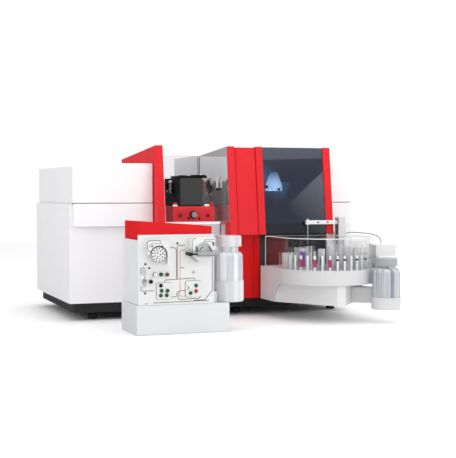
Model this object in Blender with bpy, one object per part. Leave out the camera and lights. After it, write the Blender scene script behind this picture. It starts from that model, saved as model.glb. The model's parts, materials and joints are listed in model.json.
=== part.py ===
"""Atomic absorption spectrometer: cabinet with a flame bay and a furnace bay,
an autosampler hung on its front, and a free-standing hydride module.

Metres, +Z up, front towards -Y. Every size is taken from the left front bottom
corner of the left cabinet; one empty then moves the whole object so that its
box stands centred on the origin.
"""
import math

import bmesh
import bpy
from mathutils import Matrix, Vector

# Clearances
GAP = 0.0003            # between faces that touch
RUNNING_GAP = 0.0006    # between a sliding or turning piece and its guide
SEAM = 0.0022           # visible joint line between covers
OVERRUN = 0.004         # how far a cutting body runs past the face it cuts

# Main cabinet, from left to right
CABINET_DEPTH = 0.648
LEFT_WIDTH = 0.316
LEFT_WALL_WIDTH = 0.030
FLAME_BAY_WIDTH = 0.258
CENTER_WALL_WIDTH = 0.145
FURNACE_BAY_WIDTH = 0.258
RIGHT_WALL_WIDTH = 0.032
RIGHT_WIDTH = 0.125
FOOT_HEIGHT = 0.029
FOOT_RADIUS = 0.018
FOOT_INSET_LEFT = 0.104
FOOT_INSET_RIGHT = 0.057
FOOT_INSET_Y = 0.080
MIDDLE_FOOT_SHARE = 0.588
PLINTH_HEIGHT = 0.037
PLINTH_INSET_X = 0.021
PLINTH_INSET_Y = 0.017
CABINET_HEIGHT = 0.369
CABINET_EDGE = 0.005
CABINET_HEEL = 0.016
CABINET_WALL = 0.016
LAMP_WELL_DEPTH = 0.135

# Covers over the cabinets
LID_HEIGHT = 0.148
LID_GAP = 0.005
LID_INSET = 0.007
LID_OVERHANG = 0.026
LID_SETBACK = 0.022
LID_CROWN = 0.012
LID_CROWN_LENGTH = 0.100
LID_SKIN = 0.004
LID_EDGE = 0.0025
LID_SIDE_GAP = 0.0025
HINGE_RADIUS = 0.004
HINGE_LEAF = 0.012
FASCIA_HEIGHT = 0.082
FASCIA_INSET = 0.013
FASCIA_CORNER = 0.007

# Red walls, leaning forward as they go down
TOWER_RISE = 0.068
TOWER_FACE_HEIGHT = 0.340
TOWER_REACH = 0.050
TOWER_LEAN = 0.041
TOWER_EDGE = 0.0015
ROOF_FALL_SHARE = 0.0838
BAY_DEPTH = 0.286
HOOD_DEPTH = 0.152
GROOVE_DEPTH = 0.007
RECESS_DEPTH = 0.0035
GROOVE_WIDTH = 0.0038
LEFT_BAND = 0.030
RIGHT_BAND = 0.0275

# Middle cabinet under the bays
CENTER_DROP = 0.079
CENTER_REACH = 0.025
PANEL_THICKNESS = 0.0055
PANEL_GROOVE = 0.0045
PANEL_GROOVE_INSET = 0.016
GREY_PANEL_OVERLAP = 0.0335
REAR_COVER_DROP = 0.013
VENT_COUNT = 9
VENT_LENGTH = 0.230
VENT_HEIGHT = 0.005
VENT_PITCH = 0.013
VENT_DEPTH = 0.009
SWITCH_WIDTH = 0.018
SWITCH_HEIGHT = 0.026
SWITCH_DEPTH = 0.010
SWITCH_PROUD = 0.003
INLET_WIDTH = 0.027
INLET_HEIGHT = 0.020
INLET_DEPTH = 0.018
SERVICE_INSET = 0.090
SERVICE_RISE = 0.070
SERVICE_PITCH = 0.045
GAS_PORT_RADIUS = 0.007
GAS_PORT_LENGTH = 0.016
GAS_PORT_COUNT = 3

# Flame bay and its lining
LINER_SHEET = 0.0016
LINER_FLOOR = 0.0105
LINER_REBATE = 0.005
LINER_BACK = 0.016
LINER_BACK_TOP = 0.004
BEAM_RISE = 0.1447
BEAM_DEPTH = 0.144
PORT_RADIUS = 0.0355
PORT_BORE = 0.0185
PORT_LENGTH = 0.0065
PORT_CHAMFER = 0.004
PORT_BACK = 0.0008

# Cell unit in the flame bay
CELL_WIDTH = 0.169
CELL_DEPTH = 0.175
CELL_HEIGHT = 0.0585
CELL_FRONT = 0.020
CELL_SHIFT = 0.0045
CELL_HOLE_RADIUS = 0.006
CELL_HOLE_DEPTH = 0.008
CELL_HOLE_SPREAD = 0.0555
CELL_HOLE_RISE = 0.0225
CELL_PIN_RADIUS = 0.0042
CELL_PIN_SPREAD = 0.0215
CELL_PIN_RISE = 0.0115
CELL_SCREW_RADIUS = 0.005
CELL_SCREW_HEIGHT = 0.014
CELL_SCREW_INSET = 0.011
KNOB_RADIUS = 0.0115
KNOB_LENGTH = 0.016
KNOB_RISE = 0.027
KNOB_COLLAR = 0.015
HOUSING_WIDTH = 0.0905
HOUSING_DEPTH = 0.200
HOUSING_HEIGHT = 0.1075
HOUSING_INSET = 0.030
HOUSING_LIFT = 0.0035
HOUSING_SKIN = 0.012
CELL_TUBE_BORE = 0.014
FRONT_PLATE = 0.006
FRONT_PLATE_CORNER = 0.006
TOP_PLATE = 0.0085
TOP_PLATE_DEPTH = 0.118
TOP_PLATE_REACH = 0.018
FITTING_RADIUS = 0.0065
FITTING_LENGTH = 0.046
FITTING_DEPTH = 0.108

# Graphite furnace behind the smoked window
WINDOW_THICKNESS = 0.005
WINDOW_RECESS = 0.003
FURNACE_FRONT = 0.014
FURNACE_SHEET = 0.003
FURNACE_WIDTH = 0.069
FURNACE_DEPTH = 0.100
FURNACE_SHIFT = 0.002
FURNACE_HEAD_TOP_SHARE = 0.34
FURNACE_HEAD_HEIGHT = 0.078
FURNACE_HEAD_DEPTH = 0.060
FURNACE_SHOULDER = 0.030
BEAM_IN_HEAD = 0.017
FURNACE_BORE = 0.0075
GRAPHITE_RADIUS = 0.0070
GRAPHITE_BORE = 0.0045
ELECTRODE_RADIUS = 0.020
ELECTRODE_LENGTH = 0.034
ELECTRODE_FOOT = 0.024
FOOT_WIDTH = 0.018

# Lamp compartment
LAMP_COUNT = 8
LAMP_RADIUS = 0.019
LAMP_LENGTH = 0.118
LAMP_BASE_RADIUS = 0.0205
LAMP_BASE_LENGTH = 0.026
LAMP_CIRCLE = 0.062
LAMP_DROP = 0.030
TURRET_RADIUS = 0.070
TURRET_DISC = 0.005
TURRET_SPAN = 0.070
TURRET_HUB = 0.016
TURRET_AXLE = 0.006
TURRET_LEFT = 0.086
STAND_THICKNESS = 0.012
STAND_WIDTH = 0.080
STAND_FOOT = 0.060
STAND_FOOT_HEIGHT = 0.010

# Monochromator under the right cover
MONO_INSET = 0.030
MONO_HEIGHT = 0.240
MONO_BEVEL = 0.004

# Autosampler
SAMPLER_RADIUS = 0.182
SAMPLER_OFFSET = 0.1805
SAMPLER_REACH = 0.245
SAMPLER_BACK = 0.0395
SAMPLER_DROP = 0.163
RIM_HEIGHT = 0.053
SKIRT_HEIGHT = 0.128
SKIRT_DEPTH = 0.1405
SKIRT_THICKNESS = 0.004
SKIRT_ARCH = 0.060
BOWL_WALL = 0.011
BOWL_DEPTH = 0.043
PROW_REACH = 0.372
PROW_WIDTH = 0.033
PROW_SHIFT = 0.016
HULL_INSET = 0.0045
HULL_SHOULDER_DEPTH = 0.183
HULL_SHOULDER_INSET = 0.031
BRACKET_INSET = 0.030
TRAY_CLEARANCE = 0.003
TRAY_DISC = 0.006
TRAY_HUB_RADIUS = 0.030
TRAY_HUB_HEIGHT = 0.030
SPINDLE_RADIUS = 0.010
OUTER_RING = 0.160
VIAL_RADIUS = 0.006
VIAL_BORE = 0.0044
VIAL_HEIGHT = 0.054
OUTER_VIALS = 36
INNER_VIALS = 32
CUP_RING = 0.108
CUP_RADIUS = 0.0125
CUP_BORE = 0.0105
CUP_HEIGHT = 0.078
CUP_COUNT = 8
COVER_INSET = 0.0080
COVER_SKIN = 0.003
COVER_HEIGHT = 0.118
COVER_BACK = 0.0155
COVER_CORNER = 0.018
NOTCH_CLEARANCE = 0.0007
SLOT_WIDTH = 0.013
COLUMN_WIDTH = 0.030
COLUMN_DEPTH = 0.036
COLUMN_HEIGHT = 0.189
COLUMN_X = 0.134
COLUMN_Y = 0.147
NEEDLE_REACH = 0.141
COLUMN_SLOT = 0.012
COLUMN_SLOT_DEPTH = 0.010
COLUMN_SLOT_LENGTH = 0.100
COLUMN_SLOT_TOP = 0.008
ARM_DROP = 0.0127
ARM_HEIGHT = 0.0155
ARM_WIDTH = 0.010
ARM_TIP = 0.015
ARM_SWING = 60.0
SLOT_SPARE = 5.0
NEEDLE_RADIUS = 0.0014
NEEDLE_BOSS = 0.0045
NEEDLE_RISE = 0.006
NEEDLE_CLEARANCE = 0.003
ARM_HOLE_RADIUS = 0.0028
ARM_HOLE_PITCH = 0.042

# Rinse pump, bottle and holder beside the autosampler
PUMP_WIDTH = 0.086
PUMP_DEPTH = 0.080
PUMP_HEIGHT = 0.0425
PUMP_RISE = 0.0454
PUMP_SHIFT = 0.0165
PUMP_LEG = 0.012
PUMP_LEG_DEPTH = 0.055
PUMP_LEG_DROP = 0.028
PUMP_FRONT = 0.090
PUMP_COVER_SPACE = 0.0045
PUMP_FLANK_SHARE = 0.56
NIPPLE_RADIUS = 0.0028
NIPPLE_HEIGHT = 0.008
HOSE_RADIUS = 0.0013
RISER_RADIUS = 0.0035
RISER_HEIGHT = 0.108
RISER_INSET = 0.0060
BOTTLE_RADIUS = 0.0505
RINSE_CAP_RADIUS = 0.0405
RINSE_CAP_HEIGHT = 0.029
RINSE_BEARING = -48.456    # degrees from +X, as seen from above the turntable
RINSE_CLEARANCE = 0.0080
BOTTLE_BODY = 0.147
BOTTLE_NECK_RADIUS = 0.034
BOTTLE_SHOULDER = 0.012
RINSE_NECK = 0.008
CUP_WALL = 0.0025
CUP_FLOOR = 0.004
RINSE_CUP_HEIGHT = 0.044
RINSE_CUP_SINK = 0.015
ARM_PLATE_RISE = 0.004
ARM_PLATE_HEIGHT = 0.062
ARM_PLATE_THICKNESS = 0.012
ARM_ROOT_SHARES = (0.24, 0.62)
CAP_RIBS = 24

# Hydride module standing in front
MODULE_X = 0.128
MODULE_Y = 0.4607
MODULE_WIDTH = 0.331
MODULE_DEPTH = 0.199
MODULE_BASE_HEIGHT = 0.0994
MODULE_HEEL = 0.012
BODY_INSET = 0.006
BODY_WIDTH = 0.269
BODY_HEIGHT = 0.2196
PLATE_SETBACK = 0.004
PLATE_THICKNESS = 0.008
PLATE_HEIGHT = 0.238
PLATE_CORNER = 0.003
CAP_INSET = 0.0066
CAP_HEIGHT = 0.0628
CAP_FALL = 0.018
CAP_FRONT_SETBACK = 0.0024
MODULE_BOTTLE_X = 0.3495
MODULE_BOTTLE_Y = 0.0607
MODULE_CAP_RADIUS = 0.0455
MODULE_CAP_HEIGHT = 0.038
MODULE_NECK = 0.018
MODULE_CUP_HEIGHT = 0.0735
MODULE_BOTTLE_BODY = 0.169
PORT_FACE_RADIUS = 0.0048
PORT_FACE_LENGTH = 0.006
PAD_THICKNESS = 0.004
PAD_CORNER = 0.008
ROTOR_RADIUS = 0.0265
ROTOR_LENGTH = 0.018
ROTOR_CHEEK = 0.003
ROTOR_CORE_SHARE = 0.62
ROLLER_COUNT = 10
ROLLER_RADIUS = 0.0036
ROTOR_AXLE = 0.005
CLAMP_DEPTH = 0.020
CLAMP_CLEARANCE = 0.0045
CLAMP_BAR = 0.007
SECOND_PUMP_WIDTH = 0.088
SECOND_PUMP_HEIGHT = 0.080
SECOND_PUMP_DEPTH = 0.030
SECOND_PUMP_CORNER = 0.012
SECOND_ARCH = 0.028
LEVER_LENGTH = 0.104
LEVER_HEIGHT = 0.018
LEVER_DEPTH = 0.010
LEVER_PIVOT = 0.0065

# Shares of a size
FOOT_TREAD_SHARE = 0.86
FOOT_CHAMFER_SHARE = 0.12
FOOT_SHOULDER_SHARE = 0.62
FOOT_WAIST_SHARE = 0.72
FOOT_NECK_SHARE = 0.74
ROCKER_SHARES = (0.55, 0.94, 0.90)      # half height at its back, at the cabinet's plane, at its face
VENT_SPREAD_SHARE = 0.6
GAS_BARB_SHARE = 0.6
KNOB_SHARES = (0.22, 0.30, 0.92)        # end of the collar, start and end of the grip
KNOB_TIP_SHARE = 0.88
HUB_TOP_SHARE = 0.7
ARM_TIP_SHARE = 0.9
BOTTLE_FOOT_SHARES = (0.9, 0.1)
NECK_START_SHARE = 0.2
CAP_FLUTE_SHARE = 0.965
CAP_SKIRT_SHARE = 0.82
CAP_TOP_SHARE = 0.96
PORT_TIP_SHARE = 0.6
PORT_STEP_SHARE = 0.75
PUMP_MIDDLE_SHARE = 0.42
DRUM_RADIUS_SHARE = 0.9
DRUM_LENGTH_SHARE = 0.8

# Facets on round pieces
FEW_SIDES = 12
FOOT_SIDES = 16
SIDES = 24
MANY_SIDES = 48

# Levels worked out from the sizes above
PLINTH_TOP = FOOT_HEIGHT + PLINTH_HEIGHT
CABINET_TOP = PLINTH_TOP + CABINET_HEIGHT
LID_BOTTOM = CABINET_TOP + LID_GAP
LID_TOP = LID_BOTTOM + LID_HEIGHT
TOWER_TOP = LID_TOP + TOWER_RISE
TOWER_LOW = TOWER_TOP - TOWER_FACE_HEIGHT
CENTER_TOP = CABINET_TOP - CENTER_DROP
BAY_FLOOR = CENTER_TOP + GAP + LINER_FLOOR
BEAM_Z = CENTER_TOP + BEAM_RISE
PANEL_FACE = -(CENTER_REACH + GAP + PANEL_THICKNESS)

# Stations from left to right
LEFT_WALL_X = LEFT_WIDTH
FLAME_X = LEFT_WALL_X + LEFT_WALL_WIDTH
CENTER_WALL_X = FLAME_X + FLAME_BAY_WIDTH
FURNACE_X = CENTER_WALL_X + CENTER_WALL_WIDTH
RIGHT_WALL_X = FURNACE_X + FURNACE_BAY_WIDTH
RIGHT_X = RIGHT_WALL_X + RIGHT_WALL_WIDTH
END_X = RIGHT_X + RIGHT_WIDTH
HOOD_Y = BAY_DEPTH + HOOD_DEPTH

# Autosampler centre and levels
TRAY_X = FURNACE_X + SAMPLER_OFFSET
TRAY_Y = -SAMPLER_REACH
RIM_TOP = CENTER_TOP - SAMPLER_DROP
RIM_BOTTOM = RIM_TOP - RIM_HEIGHT
HULL_BOTTOM = RIM_TOP - SKIRT_HEIGHT
DECK = RIM_TOP
INNER_RING = math.hypot(COLUMN_X - NEEDLE_REACH, COLUMN_Y)
NEEDLE_ANGLE = math.atan2(COLUMN_Y, COLUMN_X - NEEDLE_REACH)
BOWL_FLOOR = RIM_TOP - BOWL_DEPTH
VIAL_TOP = RIM_TOP + VIAL_HEIGHT
ARM_AXIS = (TRAY_X + COLUMN_X, TRAY_Y + COLUMN_Y)
COLUMN_TOP = DECK + GAP + COLUMN_HEIGHT
ARM_TOP = COLUMN_TOP - ARM_DROP
NEEDLE_TIP = RIM_TOP + CUP_HEIGHT + NEEDLE_CLEARANCE
NEEDLE_X = ARM_AXIS[0] - NEEDLE_REACH
COVER_TOP = DECK + GAP + COVER_HEIGHT
RINSE_REACH = SAMPLER_RADIUS + RINSE_CLEARANCE + BOTTLE_RADIUS
RINSE_X = TRAY_X + RINSE_REACH * math.cos(math.radians(RINSE_BEARING))
RINSE_Y = TRAY_Y + RINSE_REACH * math.sin(math.radians(RINSE_BEARING))

# Hydride module
MODULE_FRONT = -MODULE_Y
BODY_X = MODULE_X + BODY_INSET
PLATE_FACE = MODULE_FRONT + PLATE_SETBACK
BODY_FRONT = PLATE_FACE + PLATE_THICKNESS
BODY_BASE = MODULE_BASE_HEIGHT + GAP
BODY_TOP = BODY_BASE + BODY_HEIGHT
MODULE_BACK = MODULE_FRONT + MODULE_DEPTH
CUP_X = MODULE_X + MODULE_BOTTLE_X
CUP_Y = MODULE_FRONT + MODULE_BOTTLE_Y

# The box of the whole object, for the place of its origin
BOX_RIGHT = max(END_X, TRAY_X + SAMPLER_RADIUS - PUMP_SHIFT + PUMP_WIDTH)
BOX_FRONT = min(
    PLATE_FACE - SECOND_PUMP_DEPTH - RUNNING_GAP - LEVER_DEPTH,
    RINSE_Y - BOTTLE_RADIUS - CUP_WALL - RUNNING_GAP,
)
BOX_BACK = CABINET_DEPTH + max(SWITCH_PROUD, GAS_PORT_LENGTH)
ORIGIN = Vector((BOX_RIGHT / 2, (BOX_FRONT + BOX_BACK) / 2, 0))

# Finishes: colour, roughness, metallic
FINISHES = {
    "white": ((0.86, 0.87, 0.88), 0.38, 0.0),
    "pale_grey": ((0.62, 0.64, 0.66), 0.42, 0.0),
    "red": ((0.72, 0.015, 0.03), 0.30, 0.0),
    "dark_red": ((0.45, 0.01, 0.018), 0.34, 0.0),
    "black": ((0.018, 0.018, 0.020), 0.50, 0.0),
    "graphite": ((0.055, 0.057, 0.060), 0.45, 0.0),
    "smoked": ((0.045, 0.060, 0.085), 0.08, 0.0),
    "clear": ((0.85, 0.88, 0.92), 0.06, 0.0),
    "steel": ((0.56, 0.57, 0.58), 0.16, 1.0),
    "anodised_red": ((0.50, 0.02, 0.03), 0.25, 0.6),
    "aluminium": ((0.72, 0.73, 0.75), 0.32, 1.0),
    "rubber": ((0.02, 0.02, 0.02), 0.75, 0.0),
}


def clear_scene():
    for item in list(bpy.data.objects):
        bpy.data.objects.remove(item, do_unlink=True)


def make_empty(name, place, parent=None):
    empty = bpy.data.objects.new(name, None)
    bpy.context.scene.collection.objects.link(empty)
    empty.parent = parent
    empty.location = place
    return empty


def paint(item, finish):
    colour, roughness, metallic = FINISHES[finish]
    material = bpy.data.materials.new(item.name + "_" + finish)
    material.use_nodes = True
    shader = material.node_tree.nodes["Principled BSDF"]
    shader.inputs["Base Color"].default_value = (*colour, 1)
    shader.inputs["Roughness"].default_value = roughness
    shader.inputs["Metallic"].default_value = metallic
    material.diffuse_color = (*colour, 1)
    item.data.materials.append(material)


def add_object(name, mesh_data, place, parent, finish=None):
    """Make an object whose mesh was built in cabinet coordinates, with its origin at place."""
    bmesh.ops.remove_doubles(mesh_data, verts=mesh_data.verts, dist=1e-7)
    bmesh.ops.dissolve_degenerate(mesh_data, edges=mesh_data.edges, dist=1e-7)
    bmesh.ops.recalc_face_normals(mesh_data, faces=mesh_data.faces)
    parent_place = parent_world(parent)
    bmesh.ops.translate(mesh_data, verts=mesh_data.verts, vec=-Vector(place))
    mesh = bpy.data.meshes.new(name)
    mesh_data.to_mesh(mesh)
    mesh_data.free()
    item = bpy.data.objects.new(name, mesh)
    bpy.context.scene.collection.objects.link(item)
    item.parent = parent
    item.location = Vector(place) - parent_place
    if finish:
        paint(item, finish)
    else:
        item.hide_render = True
        item.display_type = "WIRE"
    return item


def parent_world(parent):
    """Place of a parent in cabinet coordinates: the machine empty stands for zero."""
    place = Vector((0, 0, 0))
    while parent is not None and parent.name != "machine":
        place += parent.location
        parent = parent.parent
    return place


def arc(center, radius, start, end, steps):
    """Points on a circle from start to end, in degrees, both ends included."""
    return [
        (
            center[0] + radius * math.cos(math.radians(start + (end - start) * i / steps)),
            center[1] + radius * math.sin(math.radians(start + (end - start) * i / steps)),
        )
        for i in range(steps + 1)
    ]


def rounded(corners, steps=3):
    """Outline through corners (a, b, radius), each rounded to its own radius."""
    outline = []
    for i, (a, b, radius) in enumerate(corners):
        here = Vector((a, b))
        if radius <= 0:
            outline.append((a, b))
            continue
        before = (Vector(corners[i - 1][:2]) - here).normalized()
        after = (Vector(corners[(i + 1) % len(corners)][:2]) - here).normalized()
        half = before.angle(after) / 2
        reach = radius / math.tan(half)
        center = here + (before + after).normalized() * (radius / math.sin(half))
        first = before * reach + here - center
        last = after * reach + here - center
        start = math.degrees(math.atan2(first.y, first.x))
        turn = math.degrees(math.atan2(last.y, last.x)) - start
        turn = (turn + 180) % 360 - 180
        outline += arc(center, radius, start, start + turn, steps)
    return outline


def rectangle(low, high, radius=0.0, steps=3):
    return rounded(
        [
            (low[0], low[1], radius),
            (high[0], low[1], radius),
            (high[0], high[1], radius),
            (low[0], high[1], radius),
        ],
        steps,
    )


AXES = {"X": (1, 2, 0), "Y": (0, 2, 1), "Z": (0, 1, 2)}


def prism_mesh(outline, axis, start, end):
    """Outline in the plane across axis, extruded from start to end along it."""
    first, second, along = AXES[axis]
    mesh = bmesh.new()
    ring = []
    for a, b in outline:
        point = [0.0, 0.0, 0.0]
        point[first], point[second], point[along] = a, b, start
        ring.append(mesh.verts.new(point))
    face = mesh.faces.new(ring)
    grown = bmesh.ops.extrude_face_region(mesh, geom=[face])["geom"]
    shift = [0.0, 0.0, 0.0]
    shift[along] = end - start
    bmesh.ops.translate(
        mesh, verts=[part for part in grown if isinstance(part, bmesh.types.BMVert)], vec=shift
    )
    return mesh


def middle(mesh):
    """Middle of a mesh's lowest level, where a standing piece has its origin."""
    points = [vert.co for vert in mesh.verts]
    low = Vector([min(point[i] for point in points) for i in range(3)])
    high = Vector([max(point[i] for point in points) for i in range(3)])
    return Vector(((low.x + high.x) / 2, (low.y + high.y) / 2, low.z))


def prism(name, outline, axis, start, end, finish=None, parent=None, place=None):
    mesh = prism_mesh(outline, axis, start, end)
    return add_object(name, mesh, place or middle(mesh), parent or MACHINE, finish)


def block(name, low, high, finish=None, parent=None, place=None, corner=0.0):
    """Box between two corners, with rounded upright edges when corner is given."""
    outline = rectangle(low[:2], high[:2], corner)
    return prism(name, outline, "Z", low[2], high[2], finish, parent, place)


def turned(name, profile, center, axis, sides, finish=None, parent=None, place=None):
    """Profile of (radius, distance along axis) spun about the axis through center."""
    mesh = bmesh.new()
    points = [mesh.verts.new((radius, 0, along)) for radius, along in profile]
    edges = [mesh.edges.new(pair) for pair in zip(points, points[1:])]
    if profile[0][0] > 0 and profile[0] != profile[-1]:
        edges.append(mesh.edges.new((points[-1], points[0])))
    bmesh.ops.spin(
        mesh, geom=points + edges, axis=(0, 0, 1), cent=(0, 0, 0), steps=sides,
        angle=math.tau, use_merge=True,
    )
    bmesh.ops.remove_doubles(mesh, verts=mesh.verts, dist=1e-7)
    turns = {
        "Z": Matrix.Identity(3),
        "X": Matrix.Rotation(math.pi / 2, 3, "Y"),
        "Y": Matrix.Rotation(-math.pi / 2, 3, "X"),
    }
    bmesh.ops.rotate(mesh, verts=mesh.verts, matrix=turns[axis], cent=(0, 0, 0))
    bmesh.ops.translate(mesh, verts=mesh.verts, vec=center)
    return add_object(name, mesh, place or center, parent or MACHINE, finish)


def boolean(target, tool, operation):
    modifier = target.modifiers.new(operation.lower() + "_" + tool.name, "BOOLEAN")
    modifier.operation = operation
    modifier.solver = "EXACT"
    modifier.object = tool
    return modifier


def cut(target, tool):
    boolean(target, tool, "DIFFERENCE")


def fuse(target, tool):
    boolean(target, tool, "UNION")


def bevel(item, width, segments=2):
    modifier = item.modifiers.new("edge", "BEVEL")
    modifier.width = width
    modifier.segments = segments
    modifier.limit_method = "ANGLE"
    modifier.angle_limit = math.radians(35)
    modifier.use_clamp_overlap = True


def smooth(item, angle=35):
    item.data.shade_smooth()
    item.data.set_sharp_from_angle(angle=math.radians(angle))


def tower_front(height):
    """Y of the leaning front plane of the red walls at a height."""
    return -(TOWER_REACH + TOWER_LEAN * (TOWER_TOP - height) / TOWER_FACE_HEIGHT)


def roof(depth):
    """Height of the falling roof line at a depth."""
    return TOWER_TOP - ROOF_FALL_SHARE * (depth + TOWER_REACH)


def tower_outline(inset=0.0):
    """Side outline of a red wall; inset draws in its front and its top."""
    low = TOWER_LOW
    top_y = tower_front(TOWER_TOP) + inset
    return [
        (tower_front(low) + inset, low),
        (top_y, roof(top_y) - inset),
        (BAY_DEPTH - SEAM, roof(BAY_DEPTH - SEAM) - inset),
        (BAY_DEPTH - SEAM, CENTER_TOP + GAP),
        (PANEL_FACE - GAP, CENTER_TOP + GAP),
        (PANEL_FACE - GAP, low),
    ]


def stepped_prism(name, stations, finish):
    """Wall whose side outline changes at stations (x, inset), lofted along X."""
    mesh = bmesh.new()
    rings = []
    for x, inset in stations:
        rings.append([mesh.verts.new((x, y, z)) for y, z in tower_outline(inset)])
    mesh.faces.new(rings[0])
    mesh.faces.new(rings[-1])
    for ring, following in zip(rings, rings[1:]):
        for i in range(len(ring)):
            j = (i + 1) % len(ring)
            corners = [ring[i], ring[j], following[j], following[i]]
            if (corners[0].co - corners[3].co).length + (corners[1].co - corners[2].co).length > 1e-7:
                mesh.faces.new(corners)
    return add_object(name, mesh, middle(mesh), MACHINE, finish)


# Feet, plinth and the three lower cabinets

def build_feet():
    neck = FOOT_RADIUS * FOOT_NECK_SHARE
    profile = [
        (0, 0), (FOOT_RADIUS * FOOT_TREAD_SHARE, 0), (FOOT_RADIUS, FOOT_HEIGHT * FOOT_CHAMFER_SHARE),
        (FOOT_RADIUS, FOOT_HEIGHT * FOOT_SHOULDER_SHARE), (neck, FOOT_HEIGHT * FOOT_WAIST_SHARE),
        (neck, FOOT_HEIGHT - GAP), (0, FOOT_HEIGHT - GAP),
    ]
    rows = {"front": FOOT_INSET_Y, "rear": CABINET_DEPTH - FOOT_INSET_Y}
    columns = {
        "left": FOOT_INSET_LEFT, "middle": END_X * MIDDLE_FOOT_SHARE, "right": END_X - FOOT_INSET_RIGHT}
    for row, y in rows.items():
        for column, x in columns.items():
            if column == "middle":
                continue
            foot = turned("foot_" + row + "_" + column, profile, (x, y, 0), "Z", FOOT_SIDES, "rubber")
            smooth(foot)
    plinth = block(
        "plinth", (PLINTH_INSET_X, PLINTH_INSET_Y, FOOT_HEIGHT),
        (END_X - PLINTH_INSET_X, CABINET_DEPTH - PLINTH_INSET_Y, PLINTH_TOP - GAP), "black",
        corner=CABINET_EDGE,
    )
    solid_profile = profile[:-2] + [(neck, FOOT_HEIGHT + OVERRUN), (0, FOOT_HEIGHT + OVERRUN)]
    for row, y in rows.items():
        fuse(plinth, turned(
            "middle_foot_" + row, solid_profile, (columns["middle"], y, 0), "Z", FOOT_SIDES))


def cabinet_outline():
    """Side outline of an outer cabinet, with a rounded heel at the lower back."""
    return rounded(
        [
            (0, PLINTH_TOP, 0),
            (CABINET_DEPTH, PLINTH_TOP, CABINET_HEEL),
            (CABINET_DEPTH, CABINET_TOP, CABINET_EDGE),
            (0, CABINET_TOP, 0),
        ],
        4,
    )


def build_side_cabinet(side, low_x, high_x):
    cabinet = prism(side + "_cabinet", cabinet_outline(), "X", low_x, high_x, "white")
    well = block(
        side + "_well",
        (low_x + CABINET_WALL, CABINET_WALL, CABINET_TOP - LAMP_WELL_DEPTH),
        (high_x - CABINET_WALL, CABINET_DEPTH - CABINET_WALL * 2, CABINET_TOP + OVERRUN),
        corner=CABINET_EDGE,
    )
    cut(cabinet, well)
    bevel(cabinet, CABINET_EDGE / 2, 2)
    return cabinet


def lid_profile(low_x, high_x, outer_side, inset=0.0):
    """Front outline of a cover: flat top that falls in a curve to its outer side."""
    top = LID_TOP - inset
    low = CABINET_TOP - OVERRUN if inset else LID_BOTTOM
    points = [(high_x - inset, low), (high_x - inset, top)]
    steps = 6
    for i in range(steps + 1):
        share = i / steps
        x = low_x + LID_CROWN_LENGTH + (inset - LID_CROWN_LENGTH) * share
        points.append((x, top - LID_CROWN * share * share))
    points.append((low_x + inset, low))
    if outer_side == "right":
        points = [(low_x + high_x - x, z) for x, z in points]
    return points


def build_lid(side, low_x, high_x, parent, place):
    front = -LID_OVERHANG
    back = CABINET_DEPTH - LID_SETBACK
    lid = prism(
        side + "_lid", lid_profile(low_x, high_x, side), "Y", front, back, "white", parent, place)
    hollow = prism(
        side + "_lid_hollow", lid_profile(low_x, high_x, side, LID_SKIN), "Y",
        front + LID_SKIN, back - LID_SKIN, None, parent, place)
    bevel(lid, LID_EDGE, 2)
    strip = LID_SKIN / 2
    fuse(lid, block(
        side + "_lid_rest", (low_x + strip, strip, CABINET_TOP + GAP),
        (high_x - strip, back - strip, LID_BOTTOM + LID_EDGE * 2), None, parent, place))
    cut(lid, hollow)
    return lid


def build_fascia(side, low_x, high_x, outer_side):
    low_z = CABINET_TOP - FASCIA_HEIGHT
    corners = [
        (low_x, low_z, FASCIA_CORNER), (high_x, low_z, 0),
        (high_x, LID_BOTTOM - SEAM, 0), (low_x, LID_BOTTOM - SEAM, 0),
    ]
    if outer_side == "right":
        corners = [(low_x + high_x - a, b, radius) for a, b, radius in reversed(corners)]
    fascia = prism(side + "_fascia", rounded(corners, 4), "Y", -LID_OVERHANG, -GAP, "white")
    bevel(fascia, LID_EDGE / 2, 2)


def build_side_units():
    left_edge = LEFT_WIDTH - GAP
    build_side_cabinet("left", 0, left_edge)
    build_side_cabinet("right", RIGHT_X + GAP, END_X)
    build_fascia("left", FASCIA_INSET, LEFT_WIDTH - LID_SIDE_GAP, "left")
    build_fascia("right", RIGHT_X + LID_SIDE_GAP, END_X - FASCIA_INSET, "right")
    hinge_y = CABINET_DEPTH - LID_SETBACK + HINGE_RADIUS + RUNNING_GAP
    hinge_z = CABINET_TOP + HINGE_RADIUS + GAP
    low_x, high_x = LID_INSET, LEFT_WIDTH - LID_SIDE_GAP
    place = Vector(((low_x + high_x) / 2, hinge_y, hinge_z))
    hinge = turned(
        "lid_hinge", [(0, 0), (HINGE_RADIUS, 0), (HINGE_RADIUS, high_x - low_x - CABINET_WALL * 2),
                      (0, high_x - low_x - CABINET_WALL * 2)],
        (low_x + CABINET_WALL, hinge_y, hinge_z), "X", FEW_SIDES, "steel")
    smooth(hinge)
    pivot = make_empty("left_lid_pivot", place, MACHINE)
    lid = build_lid("left", low_x, high_x, pivot, place)
    leaf_z = hinge_z + HINGE_RADIUS + RUNNING_GAP
    fuse(lid, block(
        "hinge_leaf", (low_x + CABINET_WALL * 2, CABINET_DEPTH - LID_SETBACK - LID_SKIN / 2, leaf_z),
        (high_x - CABINET_WALL * 2, hinge_y + HINGE_RADIUS, leaf_z + HINGE_LEAF), None, pivot, place))
    low_x, high_x = RIGHT_X + LID_SIDE_GAP, END_X - LID_INSET
    build_lid("right", low_x, high_x, MACHINE, Vector(((low_x + high_x) / 2, 0, LID_BOTTOM)))


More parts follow.
